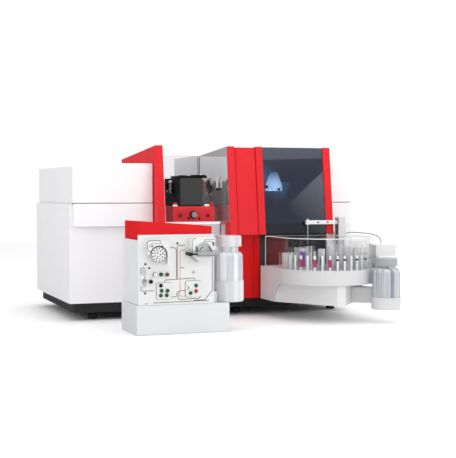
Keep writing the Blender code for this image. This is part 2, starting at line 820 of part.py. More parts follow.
def build_center_cabinet():
    cabinet = block(
        "center_cabinet", (LEFT_WALL_X + GAP, -CENTER_REACH, PLINTH_TOP),
        (RIGHT_X - GAP, CABINET_DEPTH, CENTER_TOP), "graphite")
    service_x = LEFT_WALL_X + SERVICE_INSET
    service_z = PLINTH_TOP + SERVICE_RISE
    pocket = block(
        "switch_pocket",
        (service_x - SWITCH_WIDTH / 2 - RUNNING_GAP, CABINET_DEPTH - SWITCH_DEPTH,
         service_z - SWITCH_HEIGHT / 2 - RUNNING_GAP * 2),
        (service_x + SWITCH_WIDTH / 2 + RUNNING_GAP, CABINET_DEPTH + OVERRUN,
         service_z + SWITCH_HEIGHT / 2 + RUNNING_GAP * 2))
    cut(cabinet, pocket)
    inlet_x = service_x + SERVICE_PITCH
    inlet = prism(
        "inlet_recess",
        rounded(
            [
                (inlet_x - INLET_WIDTH / 2, service_z - INLET_HEIGHT / 2, 0),
                (inlet_x + INLET_WIDTH / 2, service_z - INLET_HEIGHT / 2, 0),
                (inlet_x + INLET_WIDTH / 2, service_z + INLET_HEIGHT / 2, INLET_HEIGHT / 4),
                (inlet_x - INLET_WIDTH / 2, service_z + INLET_HEIGHT / 2, INLET_HEIGHT / 4),
            ],
            2,
        ),
        "Y", CABINET_DEPTH - INLET_DEPTH, CABINET_DEPTH + OVERRUN)
    cut(cabinet, inlet)
    barb = GAS_PORT_RADIUS * GAS_BARB_SHARE
    for i in range(GAS_PORT_COUNT):
        fuse(cabinet, turned(
            "gas_port_" + str(i + 1),
            [(0, -OVERRUN), (GAS_PORT_RADIUS, -OVERRUN), (GAS_PORT_RADIUS, GAS_PORT_LENGTH / 2),
             (barb, GAS_PORT_LENGTH / 2), (barb, GAS_PORT_LENGTH),
             (0, GAS_PORT_LENGTH)],
            (inlet_x + SERVICE_PITCH * (i + 2), CABINET_DEPTH, service_z), "Y", FEW_SIDES))
    build_switch(service_x, service_z)


def build_switch(x, z):
    """Rocker whose two faces meet in a flat V, on a pivot in the plane of the cabinet."""
    back, plane, tip = [SWITCH_HEIGHT / 2 * share for share in ROCKER_SHARES]
    inner = CABINET_DEPTH - SWITCH_DEPTH / 2
    proud = CABINET_DEPTH + SWITCH_PROUD
    place = Vector((x, CABINET_DEPTH, z))
    pivot = make_empty("power_switch_pivot", place, MACHINE)
    outline = [
        (inner, z - back), (CABINET_DEPTH, z - plane), (proud, z - tip),
        (CABINET_DEPTH + SWITCH_PROUD / 3, z), (proud, z + tip), (CABINET_DEPTH, z + plane),
        (inner, z + back),
    ]
    prism(
        "power_switch", outline, "X", x - SWITCH_WIDTH / 2, x + SWITCH_WIDTH / 2, "black", pivot, place)


def build_front_panels():
    face = PANEL_FACE
    split_x = CENTER_WALL_X + GREY_PANEL_OVERLAP
    grey = block(
        "lower_front_panel", (LEFT_WALL_X + LID_SIDE_GAP, face, PLINTH_TOP + GAP * 2),
        (split_x, -CENTER_REACH - GAP, CENTER_TOP - GAP), "pale_grey")
    groove_x = CENTER_WALL_X - PANEL_GROOVE_INSET
    cut(grey, block(
        "grey_groove", (groove_x - PANEL_GROOVE, face - OVERRUN, PLINTH_TOP - OVERRUN),
        (groove_x, face + PANEL_THICKNESS / 2, CENTER_TOP + OVERRUN)))
    bevel(grey, PANEL_THICKNESS / 8, 1)
    red = block(
        "center_lower_panel", (split_x + SEAM, face, PLINTH_TOP + GAP * 2),
        (FURNACE_X - SEAM, -CENTER_REACH - GAP, TOWER_LOW + OVERRUN), "dark_red")
    groove_x = FURNACE_X - RIGHT_BAND - GROOVE_WIDTH
    cut(red, block(
        "red_groove", (groove_x, face - OVERRUN, PLINTH_TOP - OVERRUN),
        (groove_x + GROOVE_WIDTH, face + PANEL_THICKNESS / 2, CENTER_TOP)))
    bevel(red, PANEL_THICKNESS / 8, 1)


# Red walls, the hood behind the bays and the rear cover

def build_towers():
    left = prism("left_wall", tower_outline(), "X", LEFT_WALL_X + GAP, FLAME_X, "red")
    bevel(left, TOWER_EDGE, 2)
    right = prism("right_wall", tower_outline(), "X", RIGHT_WALL_X, RIGHT_X - GAP, "red")
    bevel(right, TOWER_EDGE, 2)
    first = CENTER_WALL_X + LEFT_BAND
    second = FURNACE_X - RIGHT_BAND - GROOVE_WIDTH
    stepped_prism(
        "center_wall",
        [
            (CENTER_WALL_X, 0), (first, 0), (first, GROOVE_DEPTH),
            (first + GROOVE_WIDTH, GROOVE_DEPTH), (first + GROOVE_WIDTH, RECESS_DEPTH),
            (second, RECESS_DEPTH), (second, GROOVE_DEPTH),
            (second + GROOVE_WIDTH, GROOVE_DEPTH), (second + GROOVE_WIDTH, 0), (FURNACE_X, 0),
        ],
        "red",
    )
    front = BAY_DEPTH + GAP
    hood = prism(
        "rear_hood",
        [(front, CENTER_TOP + GAP), (front, roof(front)), (HOOD_Y, roof(HOOD_Y)), (HOOD_Y, CENTER_TOP + GAP)],
        "X", LEFT_WALL_X + GAP, RIGHT_X - GAP, "red")
    bevel(hood, TOWER_EDGE, 2)


def build_rear_cover():
    top = LID_TOP - REAR_COVER_DROP
    cover = block(
        "rear_cover", (LEFT_WALL_X + GAP, HOOD_Y + GAP, CENTER_TOP + GAP),
        (RIGHT_X - GAP, CABINET_DEPTH, top), "white")
    bevel(cover, CABINET_EDGE / 2, 2)
    center_x = (LEFT_WALL_X + RIGHT_X) / 2
    middle_z = (CENTER_TOP + top) / 2
    mesh = bmesh.new()
    for side in (-1, 1):
        for i in range(VENT_COUNT):
            low_x = center_x + side * VENT_LENGTH * VENT_SPREAD_SHARE - VENT_LENGTH / 2
            low_z = middle_z + VENT_PITCH * (i - (VENT_COUNT - 1) / 2) - VENT_HEIGHT / 2
            slot = bmesh.ops.create_cube(mesh, size=1.0)["verts"]
            bmesh.ops.scale(
                mesh, verts=slot, vec=(VENT_LENGTH, VENT_DEPTH + OVERRUN, VENT_HEIGHT))
            bmesh.ops.translate(
                mesh, verts=slot,
                vec=(low_x + VENT_LENGTH / 2, CABINET_DEPTH - (VENT_DEPTH - OVERRUN) / 2,
                     low_z + VENT_HEIGHT / 2))
    cut(cover, add_object("vent_slots", mesh, middle(mesh), MACHINE))


# Flame bay: steel lining, beam port and the cell unit

def bay_outline(front_inset, floor, back, back_top, lift):
    """Side outline of a bay space, open to the leaning front."""
    top_front = tower_front(TOWER_TOP) + front_inset
    return [
        (tower_front(floor) + front_inset, floor),
        (top_front, roof(top_front) - lift),
        (back_top, roof(back_top) - lift),
        (back, floor),
    ]


def build_flame_liner():
    low_x, high_x = FLAME_X + GAP, CENTER_WALL_X - GAP
    back = BAY_DEPTH - GAP
    rebate = LINER_REBATE
    top_front = tower_front(TOWER_TOP) + rebate
    floor_front = PANEL_FACE
    outer = [
        (floor_front, CENTER_TOP + GAP), (floor_front, BAY_FLOOR),
        (tower_front(BAY_FLOOR) + rebate, BAY_FLOOR), (top_front, roof(top_front) - LINER_SHEET),
        (back, roof(back) - LINER_SHEET), (back, CENTER_TOP + GAP),
    ]
    liner = prism("flame_liner", outer, "X", low_x, high_x, "steel")
    inner = [
        (tower_front(TOWER_LOW) - OVERRUN, BAY_FLOOR),
        (tower_front(TOWER_TOP) - OVERRUN, TOWER_TOP + OVERRUN),
        (back - LINER_BACK_TOP, TOWER_TOP + OVERRUN), (back - LINER_BACK_TOP, roof(back)),
        (back - LINER_BACK, BAY_FLOOR),
    ]
    cut(liner, prism("flame_space", inner, "X", low_x + LINER_SHEET, high_x - LINER_SHEET))


def build_beam_port():
    wall_x = CENTER_WALL_X - GAP * 2 - LINER_SHEET
    profile = [
        (0, 0), (PORT_RADIUS, 0), (PORT_RADIUS, -PORT_LENGTH + PORT_CHAMFER),
        (PORT_RADIUS - PORT_CHAMFER, -PORT_LENGTH), (PORT_BORE, -PORT_LENGTH),
        (PORT_BORE, -PORT_BACK), (0, -PORT_BACK),
    ]
    port = turned("beam_port", profile, (wall_x, BEAM_DEPTH, BEAM_Z), "X", MANY_SIDES // 2, "graphite")
    smooth(port)


def build_cell_unit():
    center_x = (FLAME_X + CENTER_WALL_X) / 2 + CELL_SHIFT
    low_x = center_x - CELL_WIDTH / 2
    high_x = center_x + CELL_WIDTH / 2
    front = -CELL_FRONT
    base_z = BAY_FLOOR + GAP
    top_z = base_z + CELL_HEIGHT
    base = block("cell_base", (low_x, front, base_z), (high_x, front + CELL_DEPTH, top_z), "anodised_red")
    bevel(base, LID_EDGE / 2, 2)
    drill = [(0, -CELL_HOLE_DEPTH), (0, CELL_HOLE_DEPTH)]
    for i, side in enumerate((-1, 1)):
        for label, radius, spread, rise in (
            ("hole", CELL_HOLE_RADIUS, CELL_HOLE_SPREAD, CELL_HOLE_RISE),
            ("pin_hole", CELL_PIN_RADIUS, CELL_PIN_SPREAD, CELL_PIN_RISE),
        ):
            profile = [drill[0], (radius, drill[0][1]), (radius, drill[1][1]), drill[1]]
            cut(base, turned(
                "cell_" + label + "_" + str(i), profile,
                (center_x + side * spread, front, base_z + rise), "Y", FEW_SIDES))
        screw = [(0, -OVERRUN), (CELL_SCREW_RADIUS, -OVERRUN), (CELL_SCREW_RADIUS, CELL_SCREW_HEIGHT),
                 (0, CELL_SCREW_HEIGHT)]
        fuse(base, turned(
            "cell_screw_" + str(i), screw,
            (center_x + side * (CELL_WIDTH / 2 - CELL_SCREW_INSET), front + CELL_SCREW_INSET, top_z),
            "Z", FEW_SIDES))
    build_cell_knob(center_x, front, base_z)
    build_cell_housing(low_x, top_z)


def build_cell_knob(center_x, front, base_z):
    place = Vector((center_x - CELL_SHIFT / 2, front - GAP, base_z + KNOB_RISE))
    pivot = make_empty("cell_knob_pivot", place, MACHINE)
    collar_end, grip_start, grip_end = [-KNOB_LENGTH * share for share in KNOB_SHARES]
    profile = [
        (0, 0), (KNOB_COLLAR, 0), (KNOB_COLLAR, collar_end), (KNOB_RADIUS, grip_start),
        (KNOB_RADIUS, grip_end), (KNOB_RADIUS * KNOB_TIP_SHARE, -KNOB_LENGTH), (0, -KNOB_LENGTH),
    ]
    knob = turned("cell_knob", profile, place, "Y", SIDES, "aluminium", pivot)
    smooth(knob)


def build_cell_housing(base_x, base_top):
    low_x = base_x + HOUSING_INSET
    high_x = low_x + HOUSING_WIDTH
    front = -CELL_FRONT + FRONT_PLATE
    back = front + HOUSING_DEPTH
    low_z = base_top + GAP
    plate_z = low_z + HOUSING_LIFT
    high_z = low_z + HOUSING_HEIGHT
    housing = block("cell_housing", (low_x, front, low_z), (high_x, back, high_z), "black")
    bore_z = BEAM_Z
    bore = [(0, -OVERRUN), (CELL_TUBE_BORE, -OVERRUN), (CELL_TUBE_BORE, HOUSING_WIDTH + OVERRUN),
            (0, HOUSING_WIDTH + OVERRUN)]
    cut(housing, turned("cell_bore", bore, (low_x, BEAM_DEPTH, bore_z), "X", FEW_SIDES + 4))
    fitting = [(0, 0), (FITTING_RADIUS, 0), (FITTING_RADIUS, FITTING_LENGTH), (0, FITTING_LENGTH)]
    fuse(housing, turned(
        "cell_fitting", fitting,
        (low_x - FITTING_RADIUS / 2, -CELL_FRONT + FITTING_DEPTH, bore_z - FITTING_LENGTH / 2),
        "Z", FEW_SIDES))
    bevel(housing, TOWER_EDGE, 1)
    plate = prism(
        "cell_front_plate",
        rectangle((low_x, plate_z), (high_x, high_z - GAP), FRONT_PLATE_CORNER), "Y",
        -CELL_FRONT, front - GAP, "graphite")
    bevel(plate, TOWER_EDGE / 2, 1)
    top_low = high_z + GAP
    reach = high_x + TOP_PLATE_REACH
    outline = [
        (low_x - OVERRUN / 2, -CELL_FRONT), (high_x - OVERRUN, -CELL_FRONT),
        (high_x, -CELL_FRONT - OVERRUN), (reach, -CELL_FRONT + OVERRUN),
        (reach, -CELL_FRONT + HOUSING_SKIN * 2), (high_x, -CELL_FRONT + HOUSING_SKIN * 3),
        (high_x, -CELL_FRONT + TOP_PLATE_DEPTH), (low_x - OVERRUN / 2, -CELL_FRONT + TOP_PLATE_DEPTH),
    ]
    top = prism("cell_top_plate", outline, "Z", top_low, top_low + TOP_PLATE, "black")
    bevel(top, TOWER_EDGE / 2, 1)


# Furnace bay behind the window

def build_furnace():
    low_x, high_x = FURNACE_X + GAP, RIGHT_WALL_X - GAP
    back = BAY_DEPTH - GAP
    front_top = tower_front(TOWER_TOP) + FURNACE_FRONT
    outer = [
        (tower_front(CENTER_TOP) + FURNACE_FRONT, CENTER_TOP + GAP),
        (front_top, roof(front_top) - GAP), (back, roof(back) - GAP), (back, CENTER_TOP + GAP),
    ]
    liner = prism("furnace_liner", outer, "X", low_x, high_x, "graphite")
    floor = BAY_FLOOR
    inner = [
        (tower_front(floor) - OVERRUN, floor),
        (tower_front(TOWER_TOP) - OVERRUN, roof(front_top) - FURNACE_SHEET),
        (back - FURNACE_SHEET, roof(back) - FURNACE_SHEET), (back - FURNACE_SHEET, floor),
    ]
    cut(liner, prism("furnace_space", inner, "X", low_x + FURNACE_SHEET, high_x - FURNACE_SHEET))
    center_x = (FURNACE_X + RIGHT_WALL_X) / 2 - FURNACE_SHIFT
    head_z = BEAM_Z - BEAM_IN_HEAD + GAP
    half = FURNACE_WIDTH / 2
    depth = FURNACE_DEPTH / 2
    block(
        "furnace_base", (center_x - half, BEAM_DEPTH - depth, floor + GAP),
        (center_x + half, BEAM_DEPTH + depth, head_z - GAP), "graphite", corner=TOWER_EDGE * 2)
    top_half = half * FURNACE_HEAD_TOP_SHARE
    head_depth = FURNACE_HEAD_DEPTH / 2
    shoulder_z, head_top = head_z + FURNACE_SHOULDER, head_z + FURNACE_HEAD_HEIGHT
    head = prism(
        "furnace_head",
        [(center_x - half, head_z), (center_x + half, head_z), (center_x + half, shoulder_z),
         (center_x + top_half, head_top), (center_x - top_half, head_top), (center_x - half, shoulder_z)],
        "Y", BEAM_DEPTH - head_depth, BEAM_DEPTH + head_depth, "aluminium")
    bore = [(0, -half - OVERRUN), (FURNACE_BORE, -half - OVERRUN), (FURNACE_BORE, half + OVERRUN),
            (0, half + OVERRUN)]
    cut(head, turned("furnace_bore", bore, (center_x, BEAM_DEPTH, BEAM_Z), "X", SIDES))
    bevel(head, TOWER_EDGE / 2, 1)
    tube = [
        (GRAPHITE_BORE, -half), (GRAPHITE_RADIUS, -half), (GRAPHITE_RADIUS, half), (GRAPHITE_BORE, half)]
    smooth(turned("graphite_tube", tube, (center_x, BEAM_DEPTH, BEAM_Z), "X", SIDES, "graphite"))
    build_electrode(center_x + half, floor)


def build_electrode(face_x, floor):
    """Electrode ring on a foot that slides on the floor of the bay."""
    start_x = face_x + RUNNING_GAP
    place = Vector((start_x, BEAM_DEPTH, BEAM_Z))
    slide = make_empty("furnace_electrode_slide", place, MACHINE)
    profile = [
        (FURNACE_BORE, 0), (ELECTRODE_RADIUS, 0), (ELECTRODE_RADIUS, ELECTRODE_LENGTH),
        (FURNACE_BORE, ELECTRODE_LENGTH)]
    electrode = turned("furnace_electrode", profile, place, "X", SIDES, "aluminium", slide)
    foot_x, foot_top = start_x + OVERRUN, BEAM_Z - ELECTRODE_RADIUS + OVERRUN / 2
    foot = block(
        "electrode_foot", (foot_x, BEAM_DEPTH - FOOT_WIDTH / 2, floor + RUNNING_GAP),
        (foot_x + ELECTRODE_FOOT, BEAM_DEPTH + FOOT_WIDTH / 2, foot_top))
    fuse(electrode, foot)


def build_window():
    """Smoked sash that slides up along the leaning plane between the red walls."""
    inset = WINDOW_RECESS
    low = TOWER_LOW + SEAM
    top_y = tower_front(TOWER_TOP) + inset
    top = roof(top_y) - SEAM
    across = inset + WINDOW_THICKNESS
    outline = [
        (tower_front(low) + inset, low), (tower_front(top) + inset, top),
        (tower_front(top) + across, top), (tower_front(low) + across, low),
    ]
    low_x, high_x = FURNACE_X + RUNNING_GAP, RIGHT_WALL_X - RUNNING_GAP
    place = Vector(((low_x + high_x) / 2, tower_front(low) + inset, low))
    slide = make_empty("furnace_window_slide", place, MACHINE)
    window = prism("furnace_window", outline, "X", low_x, high_x, "smoked", slide, place)
    bevel(window, TOWER_EDGE / 2, 1)


# Lamp compartment and monochromator

def build_lamp_turret():
    """Two discs on a hub with lamps lying through them round the turret's axis."""
    axis_z = BEAM_Z - LAMP_DROP
    setback = math.sqrt(LAMP_CIRCLE ** 2 - LAMP_DROP ** 2)
    place = Vector((TURRET_LEFT, BEAM_DEPTH + setback, axis_z))
    pivot = make_empty("lamp_turret_pivot", place, MACHINE)
    near, far = TURRET_DISC, TURRET_DISC + TURRET_SPAN
    profile = [
        (0, 0), (TURRET_RADIUS, 0), (TURRET_RADIUS, near), (TURRET_HUB, near), (TURRET_HUB, far),
        (TURRET_RADIUS, far), (TURRET_RADIUS, far + TURRET_DISC), (TURRET_HUB, far + TURRET_DISC),
        (TURRET_AXLE, far + TURRET_DISC * 2), (TURRET_AXLE, far + TURRET_DISC * 2 + STAND_THICKNESS),
        (0, far + TURRET_DISC * 2 + STAND_THICKNESS),
    ]
    turret = turned("lamp_turret", profile, place, "X", MANY_SIDES // 2, "aluminium", pivot)
    lamp = [
        (0, 0), (LAMP_BASE_RADIUS, 0), (LAMP_BASE_RADIUS, LAMP_BASE_LENGTH), (LAMP_RADIUS, LAMP_BASE_LENGTH),
        (LAMP_RADIUS, LAMP_BASE_LENGTH + LAMP_LENGTH), (0, LAMP_BASE_LENGTH + LAMP_LENGTH),
    ]
    lamp_x = place.x + far + TURRET_DISC + OVERRUN - LAMP_BASE_LENGTH - LAMP_LENGTH
    for i in range(LAMP_COUNT):
        angle = math.tau * i / LAMP_COUNT + math.atan2(LAMP_DROP, -setback)
        center = (
            lamp_x, place.y + LAMP_CIRCLE * math.cos(angle), place.z + LAMP_CIRCLE * math.sin(angle))
        fuse(turret, turned("lamp_" + str(i + 1), lamp, center, "X", FEW_SIDES - 2, None, pivot))
    stand_x = place.x + far + TURRET_DISC * 2 + RUNNING_GAP
    floor = CABINET_TOP - LAMP_WELL_DEPTH + GAP
    bearing = TURRET_AXLE + RUNNING_GAP
    outline = rounded(
        [
            (place.y - STAND_WIDTH / 2, floor, 0), (place.y + STAND_WIDTH / 2, floor, 0),
            (place.y + TURRET_HUB, axis_z + TURRET_HUB, TURRET_HUB / 2),
            (place.y - TURRET_HUB, axis_z + TURRET_HUB, TURRET_HUB / 2),
        ]
    )
    stand = prism("turret_stand", outline, "X", stand_x, stand_x + STAND_THICKNESS, "aluminium")
    fuse(stand, block(
        "stand_foot", (stand_x, place.y - STAND_WIDTH / 2, floor),
        (stand_x + STAND_FOOT, place.y + STAND_WIDTH / 2, floor + STAND_FOOT_HEIGHT)))
    cut(stand, turned(
        "stand_bearing",
        [(0, -OVERRUN), (bearing, -OVERRUN), (bearing, STAND_THICKNESS + OVERRUN),
         (0, STAND_THICKNESS + OVERRUN)],
        (stand_x, place.y, axis_z), "X", SIDES))


def build_monochromator():
    low_x = RIGHT_X + GAP + CABINET_WALL + CABINET_EDGE
    high_x = END_X - CABINET_WALL - CABINET_EDGE
    floor = CABINET_TOP - LAMP_WELL_DEPTH + GAP
    mono = block(
        "monochromator", (low_x, CABINET_WALL + MONO_INSET, floor),
        (high_x, CABINET_DEPTH - CABINET_WALL * 2 - MONO_INSET, floor + MONO_HEIGHT), "black")
    bevel(mono, MONO_BEVEL, 1)


# Autosampler

def d_outline(inset, back_inset, steps, notch=None, corner=0.0):
    """Plan of the autosampler: half circle in front, straight sides to the back."""
    radius = SAMPLER_RADIUS - inset
    back = -SAMPLER_BACK - back_inset
    points = arc((TRAY_X, TRAY_Y), radius, 180, 360, steps)
    if notch:
        notch_x, notch_y, chord = notch
        far = math.hypot(COLUMN_X, COLUMN_Y)
        toward_x, toward_y = COLUMN_X / far, COLUMN_Y / far
        meet_x = TRAY_X + (chord - (notch_y - TRAY_Y) * toward_y) / toward_x
        meet_y = TRAY_Y + (chord - (notch_x - TRAY_X) * toward_x) / toward_y
        points += [(TRAY_X + radius, notch_y), (meet_x, notch_y), (notch_x, meet_y), (notch_x, back)]
    else:
        points += [(TRAY_X + radius, back)]
    left = TRAY_X - radius
    if corner:
        points += arc((left + corner, back - corner), corner, 90, 180, 4)
    else:
        points += [(left, back)]
    return points


def build_sampler_housing():
    housing = prism(
        "sampler_housing", d_outline(0, 0, MANY_SIDES), "Z", RIM_BOTTOM, RIM_TOP, "white")
    for side in (-1, 1):
        edge = TRAY_X + side * SAMPLER_RADIUS
        inner = edge - side * SKIRT_THICKNESS
        skirt_front = -SAMPLER_BACK - SKIRT_DEPTH
        arch_center = (skirt_front - SKIRT_ARCH, RIM_BOTTOM - SKIRT_ARCH)
        outline = [(-SAMPLER_BACK, HULL_BOTTOM), (-SAMPLER_BACK, RIM_BOTTOM + OVERRUN)]
        outline += [(skirt_front - SKIRT_ARCH, RIM_BOTTOM + OVERRUN)]
        outline += arc(arch_center, SKIRT_ARCH, 90, 0, 8)
        outline += [(skirt_front, HULL_BOTTOM)]
        fuse(housing, prism(
            "skirt_" + ("left" if side < 0 else "right"), outline, "X", min(edge, inner), max(edge, inner)))
    bowl = turned(
        "bowl_space",
        [(0, 0), (SAMPLER_RADIUS - BOWL_WALL, 0), (SAMPLER_RADIUS - BOWL_WALL, BOWL_DEPTH + OVERRUN),
         (0, BOWL_DEPTH + OVERRUN)],
        (TRAY_X, TRAY_Y, BOWL_FLOOR), "Z", MANY_SIDES)
    cut(housing, bowl)
    spindle = [(0, -OVERRUN / 2), (SPINDLE_RADIUS, -OVERRUN / 2), (SPINDLE_RADIUS, TRAY_HUB_HEIGHT / 2),
               (0, TRAY_HUB_HEIGHT / 2)]
    fuse(housing, turned("tray_spindle", spindle, (TRAY_X, TRAY_Y, BOWL_FLOOR), "Z", SIDES))
    riser = [(0, -OVERRUN / 2), (RISER_RADIUS, -OVERRUN / 2), (RISER_RADIUS, RISER_HEIGHT), (0, RISER_HEIGHT)]
    fuse(housing, turned("hose_riser", riser, riser_foot(), "Z", FEW_SIDES))


def riser_foot():
    """Foot of the fixed tube that brings the hose up behind the cover."""
    return Vector((
        TRAY_X + SAMPLER_RADIUS - RISER_INSET, -SAMPLER_BACK - RISER_INSET, DECK))


def build_sampler_base():
    """Lower hull under the rim: straight flanks that meet in a narrow flat prow."""
    inset = SKIRT_THICKNESS + GAP
    left = TRAY_X - SAMPLER_RADIUS + inset
    right = TRAY_X + SAMPLER_RADIUS - inset
    back = -SAMPLER_BACK
    skirt_front = back - SKIRT_DEPTH
    prow_y = -SAMPLER_BACK - PROW_REACH
    prow_x = TRAY_X - PROW_SHIFT
    shoulder_y = back - HULL_SHOULDER_DEPTH - HULL_INSET
    corners = [
        (left, back, 0), (left, skirt_front, 0),
        (TRAY_X - SAMPLER_RADIUS + HULL_SHOULDER_INSET, shoulder_y, HULL_SHOULDER_INSET * 2),
        (prow_x - PROW_WIDTH / 2, prow_y, HULL_INSET / 2), (prow_x + PROW_WIDTH / 2, prow_y, HULL_INSET / 2),
        (TRAY_X + SAMPLER_RADIUS - HULL_SHOULDER_INSET, shoulder_y, HULL_SHOULDER_INSET),
        (right, skirt_front, 0), (right, back, 0),
    ]
    prism("sampler_base", rounded(corners, 4), "Z", HULL_BOTTOM, RIM_BOTTOM - GAP, "white")
    block(
        "sampler_bracket",
        (FURNACE_X + BRACKET_INSET, -SAMPLER_BACK + GAP, HULL_BOTTOM + BRACKET_INSET / 2),
        (RIGHT_X - BRACKET_INSET, -CENTER_REACH - GAP, RIM_TOP), "black")


def vial_set(name, ring, count, radius, low, high, sides, parent, place, start=0.0):
    mesh = bmesh.new()
    for i in range(count):
        angle = math.tau * (i + start) / count
        center = Matrix.Translation(
            (TRAY_X + ring * math.cos(angle), TRAY_Y + ring * math.sin(angle), (low + high) / 2))
        bmesh.ops.create_cone(
            mesh, cap_ends=True, segments=sides, radius1=radius, radius2=radius, depth=high - low,
            matrix=center @ Matrix.Rotation(angle, 4, "Z"))
    return add_object(name, mesh, place, parent)


def build_tray():
    """Turntable with two rings of open vials and a ring of larger reagent cups."""
    low = BOWL_FLOOR + TRAY_CLEARANCE / 2
    place = Vector((TRAY_X, TRAY_Y, low))
    pivot = make_empty("sample_tray_pivot", place, MACHINE)
    bore = SPINDLE_RADIUS + RUNNING_GAP
    top = TRAY_HUB_HEIGHT
    radius = OUTER_RING + VIAL_RADIUS + TRAY_CLEARANCE / 2
    profile = [
        (bore, 0), (radius, 0), (radius, TRAY_DISC), (TRAY_HUB_RADIUS, TRAY_DISC),
        (TRAY_HUB_RADIUS * HUB_TOP_SHARE, top), (0, top), (0, TRAY_HUB_HEIGHT / 2 + TRAY_CLEARANCE),
        (bore, TRAY_HUB_HEIGHT / 2 + TRAY_CLEARANCE),
    ]
    tray = turned("sample_tray", profile + [profile[0]], place, "Z", MANY_SIDES, "white", pivot)
    base = low + TRAY_DISC - OVERRUN / 4
    start = (NEEDLE_ANGLE / math.tau * INNER_VIALS) % 1
    cup_top = BOWL_FLOOR + BOWL_DEPTH + CUP_HEIGHT
    for label, ring, count, outer, inner, high, sides in (
        ("outer", OUTER_RING, OUTER_VIALS, VIAL_RADIUS, VIAL_BORE, VIAL_TOP, 6),
        ("inner", INNER_RING, INNER_VIALS, VIAL_RADIUS, VIAL_BORE, VIAL_TOP, 6),
        ("cup", CUP_RING, CUP_COUNT, CUP_RADIUS, CUP_BORE, cup_top, 10),
    ):
        offset = 0.0 if label == "outer" else start
        fuse(tray, vial_set(label + "_vials", ring, count, outer, base, high, sides, pivot, place, offset))
        cut(tray, vial_set(
            label + "_bores", ring, count, inner, base + OVERRUN, high + OVERRUN,
            sides, pivot, place, offset))


def build_cover():
    """Clear hood over the tray: its back corner steps round the column, its top has
    an arc-shaped slot in which the needle swings."""
    place = Vector((TRAY_X, TRAY_Y, DECK + GAP))
    swing = math.hypot(COLUMN_WIDTH / 2, COLUMN_DEPTH / 2) + NOTCH_CLEARANCE
    notch_x = ARM_AXIS[0] - swing
    notch_y = ARM_AXIS[1] - swing
    chord = math.hypot(COLUMN_X, COLUMN_Y) - swing
    cover = prism(
        "sampler_cover",
        d_outline(COVER_INSET, COVER_BACK, MANY_SIDES // 2, (notch_x, notch_y, chord), COVER_CORNER), "Z",
        DECK + GAP, COVER_TOP, "clear", MACHINE, place)
    hollow = prism(
        "cover_hollow",
        d_outline(
            COVER_INSET + COVER_SKIN, COVER_BACK + COVER_SKIN, MANY_SIDES // 2,
            (notch_x - COVER_SKIN, notch_y - COVER_SKIN, chord - COVER_SKIN), COVER_CORNER - COVER_SKIN),
        "Z", DECK - OVERRUN, COVER_TOP - COVER_SKIN)
    bevel(cover, COVER_SKIN / 2, 2)
    cut(cover, hollow)
    radius = NEEDLE_REACH
    ends = (180 - SLOT_SPARE, 180 + ARM_SWING + SLOT_SPARE)
    slot = arc(ARM_AXIS, radius + SLOT_WIDTH / 2, ends[0], ends[1], 12)
    slot += arc(ARM_AXIS, radius - SLOT_WIDTH / 2, ends[1], ends[0], 12)
    cut(cover, prism(
        "needle_slot", slot, "Z", COVER_TOP - COVER_SKIN - OVERRUN, COVER_TOP + OVERRUN))


def build_column_and_arm():
    x, y = ARM_AXIS
    place = Vector((x, y, DECK + GAP))
    swing = make_empty("arm_swing_pivot", place, MACHINE)
    half_x, half_y = COLUMN_WIDTH / 2, COLUMN_DEPTH / 2
    column = block(
        "sampler_column", (x - half_x, y - half_y, DECK + GAP), (x + half_x, y + half_y, COLUMN_TOP),
        "white", swing, place, corner=TOWER_EDGE * 2)
    slot_top = COLUMN_TOP - COLUMN_SLOT_TOP
    cut(column, block(
        "column_slot", (x - half_x - OVERRUN, y - COLUMN_SLOT / 2, slot_top - COLUMN_SLOT_LENGTH),
        (x - half_x + COLUMN_SLOT_DEPTH, y + COLUMN_SLOT / 2, slot_top), None, swing, place))
    arm_place = Vector((x - half_x, y, ARM_TOP - ARM_HEIGHT / 2))
    lift = make_empty("arm_lift_slide", arm_place - place, swing)
    tip_x = NEEDLE_X - ARM_TIP + ARM_WIDTH / 2
    width = ARM_WIDTH / 2
    corner = width * ARM_TIP_SHARE
    root_x = x - half_x + COLUMN_SLOT_DEPTH - RUNNING_GAP
    arm_outline = rounded(
        [
            (tip_x, y - width, corner), (root_x, y - width, 0),
            (root_x, y + width, 0), (tip_x, y + width, corner),
        ]
    )
    arm = prism(
        "sampler_arm", arm_outline, "Z", ARM_TOP - ARM_HEIGHT, ARM_TOP, "white", lift, arm_place)
    for i in range(2):
        hole = [(0, -ARM_WIDTH), (ARM_HOLE_RADIUS, -ARM_WIDTH), (ARM_HOLE_RADIUS, ARM_WIDTH), (0, ARM_WIDTH)]
        cut(arm, turned(
            "arm_hole_" + str(i + 1), hole,
            (NEEDLE_X + ARM_HOLE_PITCH * (i + 1), y, ARM_TOP - ARM_HEIGHT / 2), "Y", 8, None, lift,
            arm_place))
    arm_low = ARM_TOP - ARM_HEIGHT
    needle = [
        (0, NEEDLE_TIP), (NEEDLE_RADIUS / 2, NEEDLE_TIP), (NEEDLE_RADIUS, NEEDLE_TIP + NEEDLE_BOSS),
        (NEEDLE_RADIUS, arm_low - NEEDLE_BOSS), (NEEDLE_BOSS / 2, arm_low - NEEDLE_BOSS / 2),
        (NEEDLE_BOSS / 2, ARM_TOP + NEEDLE_RISE), (0, ARM_TOP + NEEDLE_RISE),
    ]
    fuse(arm, turned("needle", needle, (NEEDLE_X, y, 0), "Z", 8, None, lift, arm_place))


# Bottles and their holders

